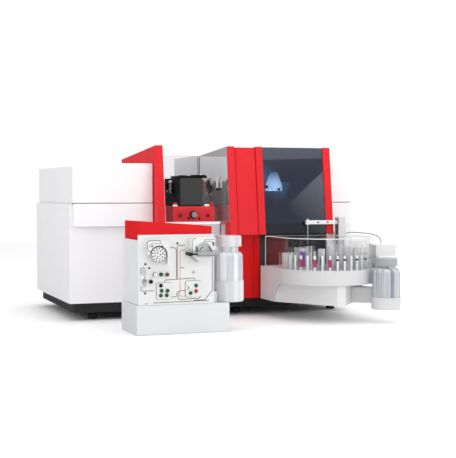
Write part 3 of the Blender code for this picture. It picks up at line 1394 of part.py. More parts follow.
def bottle_profile(body, neck):
    shoulder = BOTTLE_SHOULDER
    radius = BOTTLE_RADIUS
    tread_share, heel_share = BOTTLE_FOOT_SHARES
    points = [(0, 0), (radius * tread_share, 0), (radius, radius * heel_share)]
    points += [(radius - shoulder + a, body - shoulder + b) for a, b in arc((0, 0), shoulder, 0, 75, 4)]
    neck_start = body + neck * NECK_START_SHARE
    points += [(BOTTLE_NECK_RADIUS, neck_start), (BOTTLE_NECK_RADIUS, body + neck), (0, body + neck)]
    return points


def ribbed_cap(name, radius, height, center, parent, finish):
    """Screw cap: a cylinder whose skirt is fluted into ribs, with a plain top edge."""
    mesh = bmesh.new()
    levels = [
        (0, 1, CAP_FLUTE_SHARE), (CAP_SKIRT_SHARE, 1, CAP_FLUTE_SHARE),
        (1, CAP_TOP_SHARE, CAP_TOP_SHARE)]
    rings = []
    for level, *reach_shares in levels:
        ring = []
        for i in range(CAP_RIBS * 2):
            angle = math.tau * i / (CAP_RIBS * 2)
            reach = radius * reach_shares[i % 2]
            ring.append(mesh.verts.new((
                center[0] + reach * math.cos(angle), center[1] + reach * math.sin(angle),
                center[2] + height * level)))
        rings.append(ring)
    mesh.faces.new(rings[0])
    mesh.faces.new(rings[-1])
    for ring, following in zip(rings, rings[1:]):
        for i in range(len(ring)):
            j = (i + 1) % len(ring)
            mesh.faces.new([ring[i], ring[j], following[j], following[i]])
    return add_object(name, mesh, Vector(center), parent, finish)


def build_bottle(prefix, center, floor, body, neck, cap_radius, cap_height, cap_finish):
    place = Vector((center[0], center[1], floor))
    slide = make_empty(prefix + "_bottle_slide", place, MACHINE)
    bottle = turned(
        prefix + "_bottle", bottle_profile(body, neck), place, "Z", SIDES, "clear", slide)
    smooth(bottle)
    ribbed_cap(
        prefix + "_bottle_cap", cap_radius, cap_height, (center[0], center[1], floor + body + neck + GAP),
        slide, cap_finish)


def cup_profile(height):
    outer = BOTTLE_RADIUS + RUNNING_GAP + CUP_WALL
    inner = BOTTLE_RADIUS + RUNNING_GAP
    return [
        (0, 0), (outer - CUP_WALL, 0), (outer, CUP_WALL), (outer, height), (inner, height),
        (inner, CUP_FLOOR), (0, CUP_FLOOR),
    ]


def build_rinse_group():
    floor = HULL_BOTTOM - RINSE_CUP_SINK
    cup = turned(
        "rinse_bottle_holder", cup_profile(RINSE_CUP_HEIGHT), (RINSE_X, RINSE_Y, floor), "Z",
        MANY_SIDES // 2, "white")
    outer = BOTTLE_RADIUS + RUNNING_GAP + CUP_WALL
    near, far = hull_flank()
    end = Vector((RINSE_X, RINSE_Y))
    along = (end - (near + far) / 2).normalized()
    across = Vector((-along.y, along.x)) * ARM_PLATE_THICKNESS
    stop = end - along * (outer - CUP_WALL / 2)
    outline = [tuple(near), tuple(far), tuple(stop - across), tuple(stop + across)]
    arm = prism("holder_arm", outline, "Z", HULL_BOTTOM + ARM_PLATE_RISE, HULL_BOTTOM + ARM_PLATE_HEIGHT)
    fuse(cup, arm)
    build_bottle(
        "rinse", (RINSE_X, RINSE_Y), floor + CUP_FLOOR + GAP, BOTTLE_BODY, RINSE_NECK,
        RINSE_CAP_RADIUS, RINSE_CAP_HEIGHT, "pale_grey")
    build_rinse_pump()


def hull_flank():
    """Back and front end of the holder's arm on the right flank of the lower hull."""
    shoulder = Vector((
        TRAY_X + SAMPLER_RADIUS - HULL_SHOULDER_INSET,
        -SAMPLER_BACK - HULL_SHOULDER_DEPTH - HULL_INSET))
    prow = Vector((TRAY_X - PROW_SHIFT + PROW_WIDTH / 2, -SAMPLER_BACK - PROW_REACH))
    flank = (shoulder - prow).normalized()
    outward = Vector((flank.y, -flank.x)) * GAP
    return [shoulder.lerp(prow, share) + outward for share in ARM_ROOT_SHARES]


def build_rinse_pump():
    edge = TRAY_X + SAMPLER_RADIUS
    low_x = edge - PUMP_SHIFT
    back = TRAY_Y + PUMP_LEG_DEPTH / 2
    low_z = RIM_TOP + PUMP_RISE
    front = TRAY_Y - PUMP_FRONT
    flank_x = edge - COVER_INSET + PUMP_COVER_SPACE
    plan = rounded(
        [
            (low_x, front, TOWER_EDGE * 2), (low_x + PUMP_WIDTH, front, TOWER_EDGE * 2),
            (low_x + PUMP_WIDTH, front + PUMP_DEPTH, TOWER_EDGE * 2), (flank_x, front + PUMP_DEPTH, 0),
            (flank_x, front + PUMP_DEPTH * PUMP_FLANK_SHARE, 0),
        ],
        2,
    )
    pump = prism("rinse_pump", plan, "Z", low_z, low_z + PUMP_HEIGHT, "white")
    leg_low = RIM_TOP - PUMP_LEG_DROP
    leg = block(
        "pump_leg", (edge + GAP, TRAY_Y - PUMP_FRONT + PUMP_DEPTH - PUMP_LEG_DEPTH, leg_low),
        (edge + GAP + PUMP_LEG, back, low_z + OVERRUN))
    fuse(pump, leg)
    nipple_at = pump_nipple()
    fuse(pump, turned(
        "pump_nipple",
        [(0, -NIPPLE_HEIGHT - OVERRUN / 2), (NIPPLE_RADIUS, -NIPPLE_HEIGHT - OVERRUN / 2), (NIPPLE_RADIUS, 0),
         (0, 0)],
        nipple_at, "Z", FEW_SIDES))
    build_hose()


def pump_nipple():
    edge = TRAY_X + SAMPLER_RADIUS
    return Vector((
        edge - PUMP_SHIFT + PUMP_WIDTH / 2, TRAY_Y - PUMP_FRONT + PUMP_DEPTH / 2,
        RIM_TOP + PUMP_RISE + PUMP_HEIGHT + NIPPLE_HEIGHT))


# Hose from the riser behind the cover over to the pump, as shares of the way between
# its two ends, with the height above the straight line in metres
HOSE_ROUTE = [
    (0.00, 0.0000), (0.00, 0.0030), (0.012, 0.0070), (0.05, 0.0135), (0.12, 0.0185), (0.22, 0.0215),
    (0.34, 0.0235),
    (0.46, 0.0250), (0.58, 0.0260), (0.70, 0.0265), (0.80, 0.0255), (0.88, 0.0225), (0.94, 0.0180),
    (0.98, 0.0120), (0.997, 0.0065), (1.00, 0.0030), (1.00, 0.0000),
]


def hose_points():
    start = riser_foot() + Vector((0, 0, RISER_HEIGHT + GAP))
    end = pump_nipple() + Vector((0, 0, GAP))
    route = [start.lerp(end, share) + Vector((0, 0, rise)) for share, rise in HOSE_ROUTE]
    return smooth_route(route, 3)


def smooth_route(route, steps):
    """Catmull-Rom curve through the route's points, with steps points to a stretch."""
    points = []
    for i in range(len(route) - 1):
        p0 = route[max(i - 1, 0)]
        p1, p2 = route[i], route[i + 1]
        p3 = route[min(i + 2, len(route) - 1)]
        for k in range(steps):
            t = k / steps
            points.append(0.5 * (
                2 * p1 + (p2 - p0) * t + (2 * p0 - 5 * p1 + 4 * p2 - p3) * t * t
                + (3 * p1 - p0 - 3 * p2 + p3) * t ** 3))
    points.append(route[-1])
    return points


def build_hose():
    points = hose_points()
    curve = bpy.data.curves.new("rinse_hose", "CURVE")
    curve.dimensions = "3D"
    curve.bevel_depth = HOSE_RADIUS
    curve.bevel_resolution = 1
    curve.use_fill_caps = True
    spline = curve.splines.new("POLY")
    spline.points.add(len(points) - 1)
    for slot, point in zip(spline.points, points):
        slot.co = (*(point - points[0]), 1)
    hose = bpy.data.objects.new("rinse_hose", curve)
    bpy.context.scene.collection.objects.link(hose)
    hose.parent = MACHINE
    hose.location = points[0]
    paint(hose, "black")


# Hydride module

def build_module():
    base = prism(
        "module_base",
        rounded(
            [
                (MODULE_FRONT, 0, 0), (MODULE_BACK, 0, MODULE_HEEL),
                (MODULE_BACK, MODULE_BASE_HEIGHT, 0), (MODULE_FRONT, MODULE_BASE_HEIGHT, 0),
            ],
            4,
        ),
        "X", MODULE_X, MODULE_X + MODULE_WIDTH, "white")
    bevel(base, TOWER_EDGE, 1)
    body = block(
        "module_body", (BODY_X, BODY_FRONT, BODY_BASE), (BODY_X + BODY_WIDTH, MODULE_BACK, BODY_TOP),
        "pale_grey")
    bevel(body, TOWER_EDGE, 1)
    build_module_cap()
    build_module_plate()
    build_first_pump()
    build_second_pump()
    build_module_bottle()


def build_module_cap():
    low_x, high_x = BODY_X + CAP_INSET, BODY_X + BODY_WIDTH - CAP_INSET
    low_z = BODY_TOP + GAP
    cap = prism(
        "module_cap",
        [(low_x, low_z), (high_x, low_z), (high_x, low_z + CAP_HEIGHT - CAP_FALL),
         (low_x, low_z + CAP_HEIGHT)],
        "Y", PLATE_FACE + CAP_FRONT_SETBACK, MODULE_BACK, "red")
    cut(cap, block(
        "cap_rebate", (low_x - OVERRUN, PLATE_FACE - OVERRUN, low_z - OVERRUN),
        (high_x + OVERRUN, BODY_FRONT + GAP, BODY_BASE + PLATE_HEIGHT + GAP)))
    bevel(cap, TOWER_EDGE, 1)


# Ports on the front plate, as shares of its width and height, and pads behind groups
PORT_SHARES = [
    (0.213, 0.438), (0.295, 0.436), (0.374, 0.434), (0.161, 0.338),
    (0.288, 0.280), (0.298, 0.206), (0.376, 0.204), (0.288, 0.139), (0.366, 0.139),
    (0.755, 0.264), (0.755, 0.185), (0.681, 0.159),
]
PAD_SHARES = [((0.235, 0.083), (0.422, 0.317)), ((0.617, 0.103), (0.823, 0.333))]
ROTOR_SHARES = (0.246, 0.720)


def plate_point(width_share, height_share):
    return BODY_X + BODY_WIDTH * width_share, BODY_BASE + PLATE_HEIGHT * height_share


def build_module_plate():
    plate = prism(
        "module_plate",
        rectangle((BODY_X, BODY_BASE), (BODY_X + BODY_WIDTH, BODY_BASE + PLATE_HEIGHT), PLATE_CORNER, 2),
        "Y", PLATE_FACE, BODY_FRONT - GAP, "white")
    bevel(plate, TOWER_EDGE / 2, 1)
    for i, (low, high) in enumerate(PAD_SHARES):
        pad = prism(
            "plate_pad_" + str(i + 1), rectangle(plate_point(*low), plate_point(*high), PAD_CORNER, 3),
            "Y", PLATE_FACE - PAD_THICKNESS, PLATE_FACE + PLATE_THICKNESS / 2)
        fuse(plate, pad)
    for i, shares in enumerate(PORT_SHARES):
        x, z = plate_point(*shares)
        length = PORT_FACE_LENGTH + PAD_THICKNESS
        profile = [
            (0, -length), (PORT_FACE_RADIUS * PORT_TIP_SHARE, -length),
            (PORT_FACE_RADIUS, -length * PORT_STEP_SHARE),
            (PORT_FACE_RADIUS, PLATE_THICKNESS / 2), (0, PLATE_THICKNESS / 2)]
        fuse(plate, turned("plate_port_" + str(i + 1), profile, (x, PLATE_FACE, z), "Y", 8))
    x, z = rotor_center()
    axle = [(0, -ROTOR_LENGTH / 2), (ROTOR_AXLE, -ROTOR_LENGTH / 2), (ROTOR_AXLE, PLATE_THICKNESS / 2),
            (0, PLATE_THICKNESS / 2)]
    fuse(plate, turned("rotor_axle", axle, (x, PLATE_FACE, z), "Y", FEW_SIDES))


def rotor_center():
    return plate_point(*ROTOR_SHARES)


def build_first_pump():
    """Peristaltic rotor: two cheeks on a core, with rollers between them on a circle."""
    x, z = rotor_center()
    place = Vector((x, PLATE_FACE - RUNNING_GAP, z))
    pivot = make_empty("pump_rotor_pivot", place, MACHINE)
    core = ROTOR_RADIUS * ROTOR_CORE_SHARE
    length = ROTOR_LENGTH
    bore = ROTOR_AXLE + RUNNING_GAP
    depth = length / 2 + RUNNING_GAP * 2
    profile = [
        (bore, 0), (ROTOR_RADIUS, 0), (ROTOR_RADIUS, -ROTOR_CHEEK), (core, -ROTOR_CHEEK),
        (core, -length + ROTOR_CHEEK), (ROTOR_RADIUS, -length + ROTOR_CHEEK), (ROTOR_RADIUS, -length),
        (0, -length), (0, -depth), (bore, -depth), (bore, 0),
    ]
    rotor = turned("pump_rotor", profile, place, "Y", SIDES, "white", pivot)
    for i in range(ROLLER_COUNT):
        angle = math.tau * i / ROLLER_COUNT
        reach = ROTOR_RADIUS - ROLLER_RADIUS - RUNNING_GAP * 2
        center = (x + reach * math.cos(angle), place.y, z + reach * math.sin(angle))
        roller = [(0, -ROTOR_CHEEK / 2), (ROLLER_RADIUS, -ROTOR_CHEEK / 2),
                  (ROLLER_RADIUS, -length + ROTOR_CHEEK / 2), (0, -length + ROTOR_CHEEK / 2)]
        fuse(rotor, turned("roller_" + str(i + 1), roller, center, "Y", 8, None, pivot))
    build_pump_clamp(x, z)


def build_pump_clamp(x, z):
    """Clamp over the rotor: a block with an arched mouth and a bar down its right side."""
    reach = ROTOR_RADIUS + CLAMP_CLEARANCE
    top = z + reach + CLAMP_BAR * 2
    right = x + reach + CLAMP_BAR
    left = x - reach - CLAMP_BAR
    mouth = arc((x, z), reach, 180, 0, 12)
    outline = [(left, z)] + arc((left + PAD_CORNER, top - PAD_CORNER), PAD_CORNER, 180, 90, 3)
    outline += [(right, top), (right, z - reach), (right - CLAMP_BAR, z - reach)]
    outline += list(reversed(mouth))
    prism("pump_clamp", outline, "Y", PLATE_FACE - CLAMP_DEPTH, PLATE_FACE - GAP, "pale_grey")


def build_second_pump():
    """Reagent pump: a rounded housing with an arched window over a fixed rotor."""
    low_x = BODY_X + BODY_WIDTH - SECOND_PUMP_WIDTH - PLATE_CORNER
    high_x = BODY_X + BODY_WIDTH - PLATE_CORNER
    high_z = BODY_BASE + PLATE_HEIGHT - PLATE_CORNER * 3
    low_z = high_z - SECOND_PUMP_HEIGHT
    front = PLATE_FACE - SECOND_PUMP_DEPTH
    center_x = (low_x + high_x) / 2
    center_z = low_z + SECOND_PUMP_HEIGHT * PUMP_MIDDLE_SHARE
    housing = prism(
        "second_pump", rectangle((low_x, center_z), (high_x, high_z), SECOND_PUMP_CORNER, 3), "Y",
        front, PLATE_FACE - GAP, "white")
    radius = (SECOND_PUMP_WIDTH / 2 - PLATE_CORNER) * DRUM_RADIUS_SHARE
    length = SECOND_PUMP_DEPTH * DRUM_LENGTH_SHARE
    drum = [(0, -length), (radius, -length), (radius, -GAP), (0, -GAP)]
    fuse(housing, turned("second_drum", drum, (center_x, PLATE_FACE, center_z), "Y", SIDES))
    mouth = arc((center_x, center_z + GAP), SECOND_ARCH, 0, 180, 10)
    cut(housing, prism(
        "second_mouth", mouth, "Y", front - OVERRUN, front + SECOND_PUMP_DEPTH / 2))
    bevel(housing, TOWER_EDGE / 2, 1)
    lever_z = center_z - LEVER_HEIGHT / 2 - RUNNING_GAP * 2
    pivot_x = low_x - LEVER_PIVOT
    place = Vector((pivot_x, front, lever_z))
    pivot = make_empty("clamp_lever_pivot", place, MACHINE)
    half, end_x = LEVER_HEIGHT / 2, pivot_x + LEVER_LENGTH
    outline = [(end_x, lever_z - half), (end_x, lever_z + half)]
    outline += arc((pivot_x, lever_z), half, 90, 270, 6)
    lever = prism(
        "clamp_lever", outline, "Y", front - LEVER_DEPTH - RUNNING_GAP, front - RUNNING_GAP, "white",
        pivot, place)
    bevel(lever, TOWER_EDGE / 2, 1)
    fuse(lever, turned(
        "lever_post", [(0, -SECOND_PUMP_DEPTH - OVERRUN), (LEVER_PIVOT, -SECOND_PUMP_DEPTH - OVERRUN),
                       (LEVER_PIVOT, -RUNNING_GAP), (0, -RUNNING_GAP)],
        (pivot_x, PLATE_FACE, lever_z), "Y", FEW_SIDES, None, pivot))


def build_module_bottle():
    floor = BODY_BASE
    cup = turned(
        "module_bottle_cup", cup_profile(MODULE_CUP_HEIGHT), (CUP_X, CUP_Y, floor), "Z", MANY_SIDES // 2,
        "clear")
    outer = BOTTLE_RADIUS + RUNNING_GAP + CUP_WALL
    side_x = BODY_X + BODY_WIDTH + GAP
    hook = block(
        "cup_hook", (side_x, CUP_Y - outer / 2, floor),
        (CUP_X - outer + CUP_WALL / 2, CUP_Y + outer / 2, floor + MODULE_CUP_HEIGHT / 2))
    fuse(cup, hook)
    build_bottle(
        "module", (CUP_X, CUP_Y), floor + CUP_FLOOR + GAP, MODULE_BOTTLE_BODY, MODULE_NECK,
        MODULE_CAP_RADIUS, MODULE_CAP_HEIGHT, "clear")


clear_scene()
MACHINE = make_empty("machine", -ORIGIN)
build_feet()
build_side_units()
build_center_cabinet()
build_front_panels()
build_towers()
build_rear_cover()
build_flame_liner()
build_beam_port()
build_cell_unit()
build_furnace()
build_window()
build_lamp_turret()
build_monochromator()
build_sampler_housing()
build_sampler_base()
build_tray()
build_cover()
build_column_and_arm()
build_rinse_group()
build_module()
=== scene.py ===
"""Looks of the atomic absorption spectrometer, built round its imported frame.

Metres, in the row frame: +X to the instrument's right, +Y to its back, +Z up.
"""
import json
import math

import bmesh
import bpy
import numpy as np
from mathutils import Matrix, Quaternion, Vector


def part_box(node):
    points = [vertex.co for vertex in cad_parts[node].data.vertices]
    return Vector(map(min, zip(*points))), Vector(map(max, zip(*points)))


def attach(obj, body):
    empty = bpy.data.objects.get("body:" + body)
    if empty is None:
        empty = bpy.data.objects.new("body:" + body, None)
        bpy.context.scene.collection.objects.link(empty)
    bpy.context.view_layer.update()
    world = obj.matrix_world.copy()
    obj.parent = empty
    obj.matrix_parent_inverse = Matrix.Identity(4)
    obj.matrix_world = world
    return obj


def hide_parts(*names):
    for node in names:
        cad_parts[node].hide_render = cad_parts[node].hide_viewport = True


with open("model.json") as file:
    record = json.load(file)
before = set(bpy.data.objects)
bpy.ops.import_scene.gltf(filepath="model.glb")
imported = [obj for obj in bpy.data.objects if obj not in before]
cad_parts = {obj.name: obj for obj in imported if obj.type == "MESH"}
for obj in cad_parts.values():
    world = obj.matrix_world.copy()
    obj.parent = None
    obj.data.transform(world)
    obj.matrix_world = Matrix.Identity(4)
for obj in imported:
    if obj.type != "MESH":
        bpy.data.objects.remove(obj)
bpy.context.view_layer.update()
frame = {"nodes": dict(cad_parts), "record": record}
NODES = frame["nodes"]
BODY_OF = {node: body for body, nodes in frame["record"]["behaviour"]["bodies"].items() for node in nodes}
INSTRUMENT = "instrument"


def corners(node):
    """Lowest and highest corner of a CAD node as arrays."""
    low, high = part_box(node)
    return np.array(low), np.array(high)


def centre(node):
    """Middle of a CAD node's box."""
    low, high = corners(node)
    return (low + high) / 2


def face_middle(node, axis, end):
    """Middle of one face of a CAD node's box: end 0 is the face at the low side of the axis."""
    box = corners(node)
    middle = (box[0] + box[1]) / 2
    middle[axis] = box[end][axis]
    return middle


CORNER_X = corners("left_cabinet")[0][0]
FRONT_Y = corners("left_cabinet")[0][1]


def place(x, y, z):
    """Point given from the left front corner of the left cabinet, on the table."""
    return np.array([x + CORNER_X, y + FRONT_Y, z])


# Shader groups

def new_group(name, inputs, outputs):
    group = bpy.data.node_groups.new(name, "ShaderNodeTree")
    for label, kind, default in inputs:
        socket = group.interface.new_socket(label, in_out="INPUT", socket_type=kind)
        socket.default_value = default
    for label, kind in outputs:
        group.interface.new_socket(label, in_out="OUTPUT", socket_type=kind)
    enter = group.nodes.new("NodeGroupInput")
    leave = group.nodes.new("NodeGroupOutput")
    return group, enter, leave


def node(tree, kind, links=None, **settings):
    """Adds a node; links is {input: socket or value}; settings are its attributes."""
    made = tree.nodes.new(kind)
    for key, value in settings.items():
        setattr(made, key, value)
    for key, value in (links or {}).items():
        if isinstance(value, bpy.types.NodeSocket):
            tree.links.new(value, made.inputs[key])
        else:
            made.inputs[key].default_value = value
    return made


def colour_mix(tree, share, first, second):
    """Mix of two colours by a share; each may be a socket or a value."""
    made = node(tree, "ShaderNodeMix", {"Factor": share, "A": first, "B": second}, data_type="RGBA")
    return made.outputs["Result"]


def ranged(tree, value, start, end, first=0.0, last=1.0, **settings):
    """Value rescaled so that start gives first and end gives last, and held between them."""
    links = {"Value": value, "From Min": start, "From Max": end, "To Min": first, "To Max": last}
    return node(tree, "ShaderNodeMapRange", links, **settings).outputs["Result"]


COLOUR, NUMBER, VECTOR = "NodeSocketColor", "NodeSocketFloat", "NodeSocketVector"


def build_skin_group():
    """Cloudy change between two colours and two roughnesses, with a fine grain as a bump."""
    group, enter, leave = new_group(
        "moulded_skin",
        [
            ("Colour", COLOUR, (0.8, 0.8, 0.8, 1)), ("Cloud Colour", COLOUR, (0.7, 0.7, 0.7, 1)),
            ("Cloud Scale", NUMBER, 4.0), ("Low Roughness", NUMBER, 0.3), ("High Roughness", NUMBER, 0.4),
            ("Grain Scale", NUMBER, 900.0), ("Grain Height", NUMBER, 0.1),
        ],
        [("Colour", COLOUR), ("Roughness", NUMBER), ("Normal", VECTOR)],
    )
    where = node(group, "ShaderNodeTexCoord").outputs["Object"]
    cloud = node(
        group, "ShaderNodeTexNoise",
        {"Vector": where, "Scale": enter.outputs["Cloud Scale"], "Detail": 3.0, "Roughness": 0.55})
    spread = ranged(group, cloud.outputs["Fac"], 0.35, 0.65)
    colour = colour_mix(group, spread, enter.outputs["Colour"], enter.outputs["Cloud Colour"])
    smear = node(
        group, "ShaderNodeTexNoise", {"Vector": where, "Scale": 23.0, "Detail": 4.0, "Roughness": 0.6})
    rough = ranged(
        group, smear.outputs["Fac"], 0.3, 0.7, enter.outputs["Low Roughness"], enter.outputs["High Roughness"])
    grain = node(
        group, "ShaderNodeTexNoise", {"Vector": where, "Scale": enter.outputs["Grain Scale"], "Detail": 2.0})
    bump = node(
        group, "ShaderNodeBump",
        {"Height": grain.outputs["Fac"], "Strength": enter.outputs["Grain Height"], "Distance": 0.0004})
    group.links.new(colour, leave.inputs["Colour"])
    group.links.new(rough, leave.inputs["Roughness"])
    group.links.new(bump.outputs["Normal"], leave.inputs["Normal"])
    return group


def build_edge_group():
    """Mask of edges and corners, from how the surface curves at each point: used for wear and for a painted highlight
    along edges.
    """
    group, enter, leave = new_group(
        "edge_wear_and_highlight", [("Low", NUMBER, 0.52), ("High", NUMBER, 0.6)], [("Mask", NUMBER)])
    bend = node(group, "ShaderNodeNewGeometry").outputs["Pointiness"]
    group.links.new(ranged(group, bend, enter.outputs["Low"], enter.outputs["High"]), leave.inputs["Mask"])
    return group


def build_brushed_group():
    """Fine lines along one axis, as a roughness and a bump."""
    group, enter, leave = new_group(
        "brushed_lines",
        [("Stretch", VECTOR, (1.0, 1.0, 40.0)), ("Low Roughness", NUMBER, 0.15),
         ("High Roughness", NUMBER, 0.3), ("Height", NUMBER, 0.05)],
        [("Roughness", NUMBER), ("Normal", VECTOR)],
    )
    where = node(group, "ShaderNodeTexCoord").outputs["Object"]
    scaled = node(
        group, "ShaderNodeVectorMath", {0: where, 1: enter.outputs["Stretch"]}, operation="MULTIPLY")
    lines = node(
        group, "ShaderNodeTexNoise", {"Vector": scaled.outputs["Vector"], "Scale": 30.0, "Detail": 3.0})
    rough = ranged(
        group, lines.outputs["Fac"], 0.3, 0.7, enter.outputs["Low Roughness"], enter.outputs["High Roughness"])
    bump = node(
        group, "ShaderNodeBump",
        {"Height": lines.outputs["Fac"], "Strength": enter.outputs["Height"], "Distance": 0.0003})
    group.links.new(rough, leave.inputs["Roughness"])
    group.links.new(bump.outputs["Normal"], leave.inputs["Normal"])
    return group


def build_glow_group():
    """Colour that fades from a near to a far one with the distance from a point, measured in
    its own reach along each axis."""
    group, enter, leave = new_group(
        "inner_glow",
        [("Near", COLOUR, (1, 1, 1, 1)), ("Far", COLOUR, (0, 0, 0, 1)), ("Middle", VECTOR, (0.0, 0.0, 0.0)),
         ("Reach", VECTOR, (1.0, 1.0, 1.0))],
        [("Colour", COLOUR)],
    )
    where = node(group, "ShaderNodeTexCoord").outputs["Object"]
    away = node(
        group, "ShaderNodeVectorMath", {0: where, 1: enter.outputs["Middle"]}, operation="SUBTRACT")
    share = node(
        group, "ShaderNodeVectorMath", {0: away.outputs["Vector"], 1: enter.outputs["Reach"]},
        operation="DIVIDE")
    far = node(group, "ShaderNodeVectorMath", {0: share.outputs["Vector"]}, operation="LENGTH")
    fade = ranged(group, far.outputs["Value"], 0.0, 1.0, interpolation_type="SMOOTHSTEP")
    group.links.new(colour_mix(group, fade, enter.outputs["Near"], enter.outputs["Far"]), leave.inputs["Colour"])
    return group


def build_streak_group():
    """Upright streaks: noise that hardly changes along Z, between two colours; painted reflections and refraction of
    clear parts.
    """
    group, enter, leave = new_group(
        "painted_reflection_streaks",
        [("Pale", COLOUR, (0.9, 0.9, 0.9, 1)), ("Dark", COLOUR, (0.5, 0.5, 0.5, 1)), ("Scale", NUMBER, 60.0)],
        [("Colour", COLOUR)],
    )
    where = node(group, "ShaderNodeTexCoord").outputs["Object"]
    flat = node(group, "ShaderNodeVectorMath", {0: where, 1: (1.0, 1.0, 0.02)}, operation="MULTIPLY")
    lines = node(
        group, "ShaderNodeTexNoise",
        {"Vector": flat.outputs["Vector"], "Scale": enter.outputs["Scale"], "Detail": 2.0, "Roughness": 0.5})
    spread = ranged(group, lines.outputs["Fac"], 0.44, 0.62)
    group.links.new(colour_mix(group, spread, enter.outputs["Pale"], enter.outputs["Dark"]), leave.inputs["Colour"])
    return group


SKIN = build_skin_group()
REFLECTION_STREAKS = build_streak_group()
EDGE = build_edge_group()
GLOW = build_glow_group()
BRUSHED = build_brushed_group()


def use_group(tree, group, **values):
    made = tree.nodes.new("ShaderNodeGroup")
    made.node_tree = group
    for key, value in values.items():
        made.inputs[key.replace("_", " ")].default_value = value
    return made


def shader_of(name, **fixed):
    """New material with constants set on the shader's own sockets."""
    material = bpy.data.materials.new(name)
    material.use_nodes = True
    shader = material.node_tree.nodes["Principled BSDF"]
    for key, value in fixed.items():
        shader.inputs[key.replace("_", " ")].default_value = value
    return material, material.node_tree, shader


def feed(tree, made, shader, *labels):
    """Links a group's outputs to the shader: the colour to its base colour, the others by name."""
    for label in labels:
        tree.links.new(made.outputs[label], shader.inputs["Base Color" if label == "Colour" else label])


def skin(name, colour, cloud, rough, grain=(900.0, 0.1), cloud_scale=4.0, **fixed):
    """Moulded or painted finish: colour and cloud are the two colours it drifts between."""
    material, tree, shader = shader_of(name, **fixed)
    made = use_group(
        tree, SKIN, Colour=(*colour, 1), Cloud_Colour=(*cloud, 1), Cloud_Scale=cloud_scale,
        Low_Roughness=rough[0], High_Roughness=rough[1], Grain_Scale=grain[0], Grain_Height=grain[1])
    feed(tree, made, shader, "Colour", "Roughness", "Normal")
    material.diffuse_color = (*colour, 1)
    return material


def brushed(name, colour, cloud, rough, stretch, height=0.05, metal=1.0, **fixed):
    """Metal with fine lines along one axis and a slow change of tone."""
    material, tree, shader = shader_of(name, Metallic=metal, **fixed)
    tone = use_group(
        tree, SKIN, Colour=(*colour, 1), Cloud_Colour=(*cloud, 1), Cloud_Scale=6.0, Grain_Height=0.0)
    lines = use_group(
        tree, BRUSHED, Stretch=stretch, Low_Roughness=rough[0], High_Roughness=rough[1], Height=height)
    feed(tree, tone, shader, "Colour")
    feed(tree, lines, shader, "Roughness", "Normal")
    material.diffuse_color = (*colour, 1)
    return material


def edged(name, colour, edge_colour, rough, grain=(500.0, 0.15), **fixed):
    """Finish whose corners are a little lighter: partly paint and anodising wear, partly a painted highlight along the
    edges.
    """
    material, tree, shader = shader_of(name, **fixed)
    made = use_group(
        tree, SKIN, Colour=(*colour, 1), Cloud_Colour=(*[c * 0.85 for c in colour], 1), Cloud_Scale=7.0,
        Low_Roughness=rough[0], High_Roughness=rough[1], Grain_Scale=grain[0], Grain_Height=grain[1])
    edge = use_group(tree, EDGE)
    lighter_edges = colour_mix(tree, edge.outputs["Mask"], made.outputs["Colour"], (*edge_colour, 1))
    tree.links.new(lighter_edges, shader.inputs["Base Color"])
    feed(tree, made, shader, "Roughness", "Normal")
    material.diffuse_color = (*colour, 1)
    return material


def clear(name, colour, rough, ior, transmission=1.0, smear=0.03, **fixed):
    """Clear plastic, glass or liquid: plain transmission, faintly uneven gloss."""
    material, tree, shader = shader_of(
        name, Transmission_Weight=transmission, IOR=ior, Base_Color=(*colour, 1), **fixed)
    made = use_group(
        tree, SKIN, Low_Roughness=rough, High_Roughness=rough + smear, Grain_Height=0.0)
    feed(tree, made, shader, "Roughness")
    material.diffuse_color = (*colour, 0.4)
    return material


def streaked(name, pale, dark, rough, ior, transmission, scale, **fixed):
    """Filled or moulded clear part, partly see-through, with upright streaks of pale and dark painted on as its
    reflections and refraction.
    """
    material, tree, shader = shader_of(name, Transmission_Weight=transmission, IOR=ior, **fixed)
    streaks = use_group(tree, REFLECTION_STREAKS, Pale=(*pale, 1), Dark=(*dark, 1), Scale=scale)
    made = use_group(tree, SKIN, Low_Roughness=rough, High_Roughness=rough + 0.05, Grain_Height=0.0)
    feed(tree, streaks, shader, "Colour")
    feed(tree, made, shader, "Roughness")
    material.diffuse_color = (*pale, 0.5)
    return material


def walled(name, rim, middle_alpha, *streaks, **fixed):
    """Thin-walled streaked part: see-through where it faces the eye, dense where its wall is seen from the side, and
    there turned to the rim colour, a painted shade along its outlines."""
    material = streaked(name, *streaks, **fixed)
    tree = material.node_tree
    shader = tree.nodes["Principled BSDF"]
    facing = node(tree, "ShaderNodeLayerWeight", {"Blend": 0.5}).outputs["Facing"]
    side = ranged(tree, facing, 0.20, 0.60)
    colour = shader.inputs["Base Color"].links[0].from_socket
    tree.links.new(colour_mix(tree, side, colour, (*rim, 1)), shader.inputs["Base Color"])
    tree.links.new(ranged(tree, side, 0.0, 1.0, middle_alpha, 1.0), shader.inputs["Alpha"])
    return material


PAINT_WHITE = skin(
    "satin_white_paint", (0.87, 0.87, 0.885), (0.85, 0.85, 0.87), (0.34, 0.42), (700.0, 0.08))
MOULDED_WHITE = skin(
    "moulded_white_plastic", (0.635, 0.635, 0.642), (0.61, 0.61, 0.618), (0.36, 0.46), (1200.0, 0.14))
HULL_WHITE = skin(
    "hull_white_plastic", (0.715, 0.715, 0.72), (0.695, 0.695, 0.70), (0.36, 0.46), (1200.0, 0.14))
PLATE_WHITE = skin(
    "front_plate_white", (0.72, 0.725, 0.72), (0.70, 0.705, 0.70), (0.40, 0.48), (1500.0, 0.10))
MODULE_WHITE = skin(
    "module_white_paint", (0.68, 0.69, 0.71), (0.66, 0.67, 0.69), (0.34, 0.42), (700.0, 0.08))
PALE_GREY = skin("pale_grey_paint", (0.55, 0.545, 0.56), (0.52, 0.515, 0.53), (0.34, 0.42), (800.0, 0.08))
CAP_GREY = skin("cap_grey_plastic", (0.355, 0.365, 0.385), (0.32, 0.33, 0.35), (0.36, 0.46), (1400.0, 0.12))
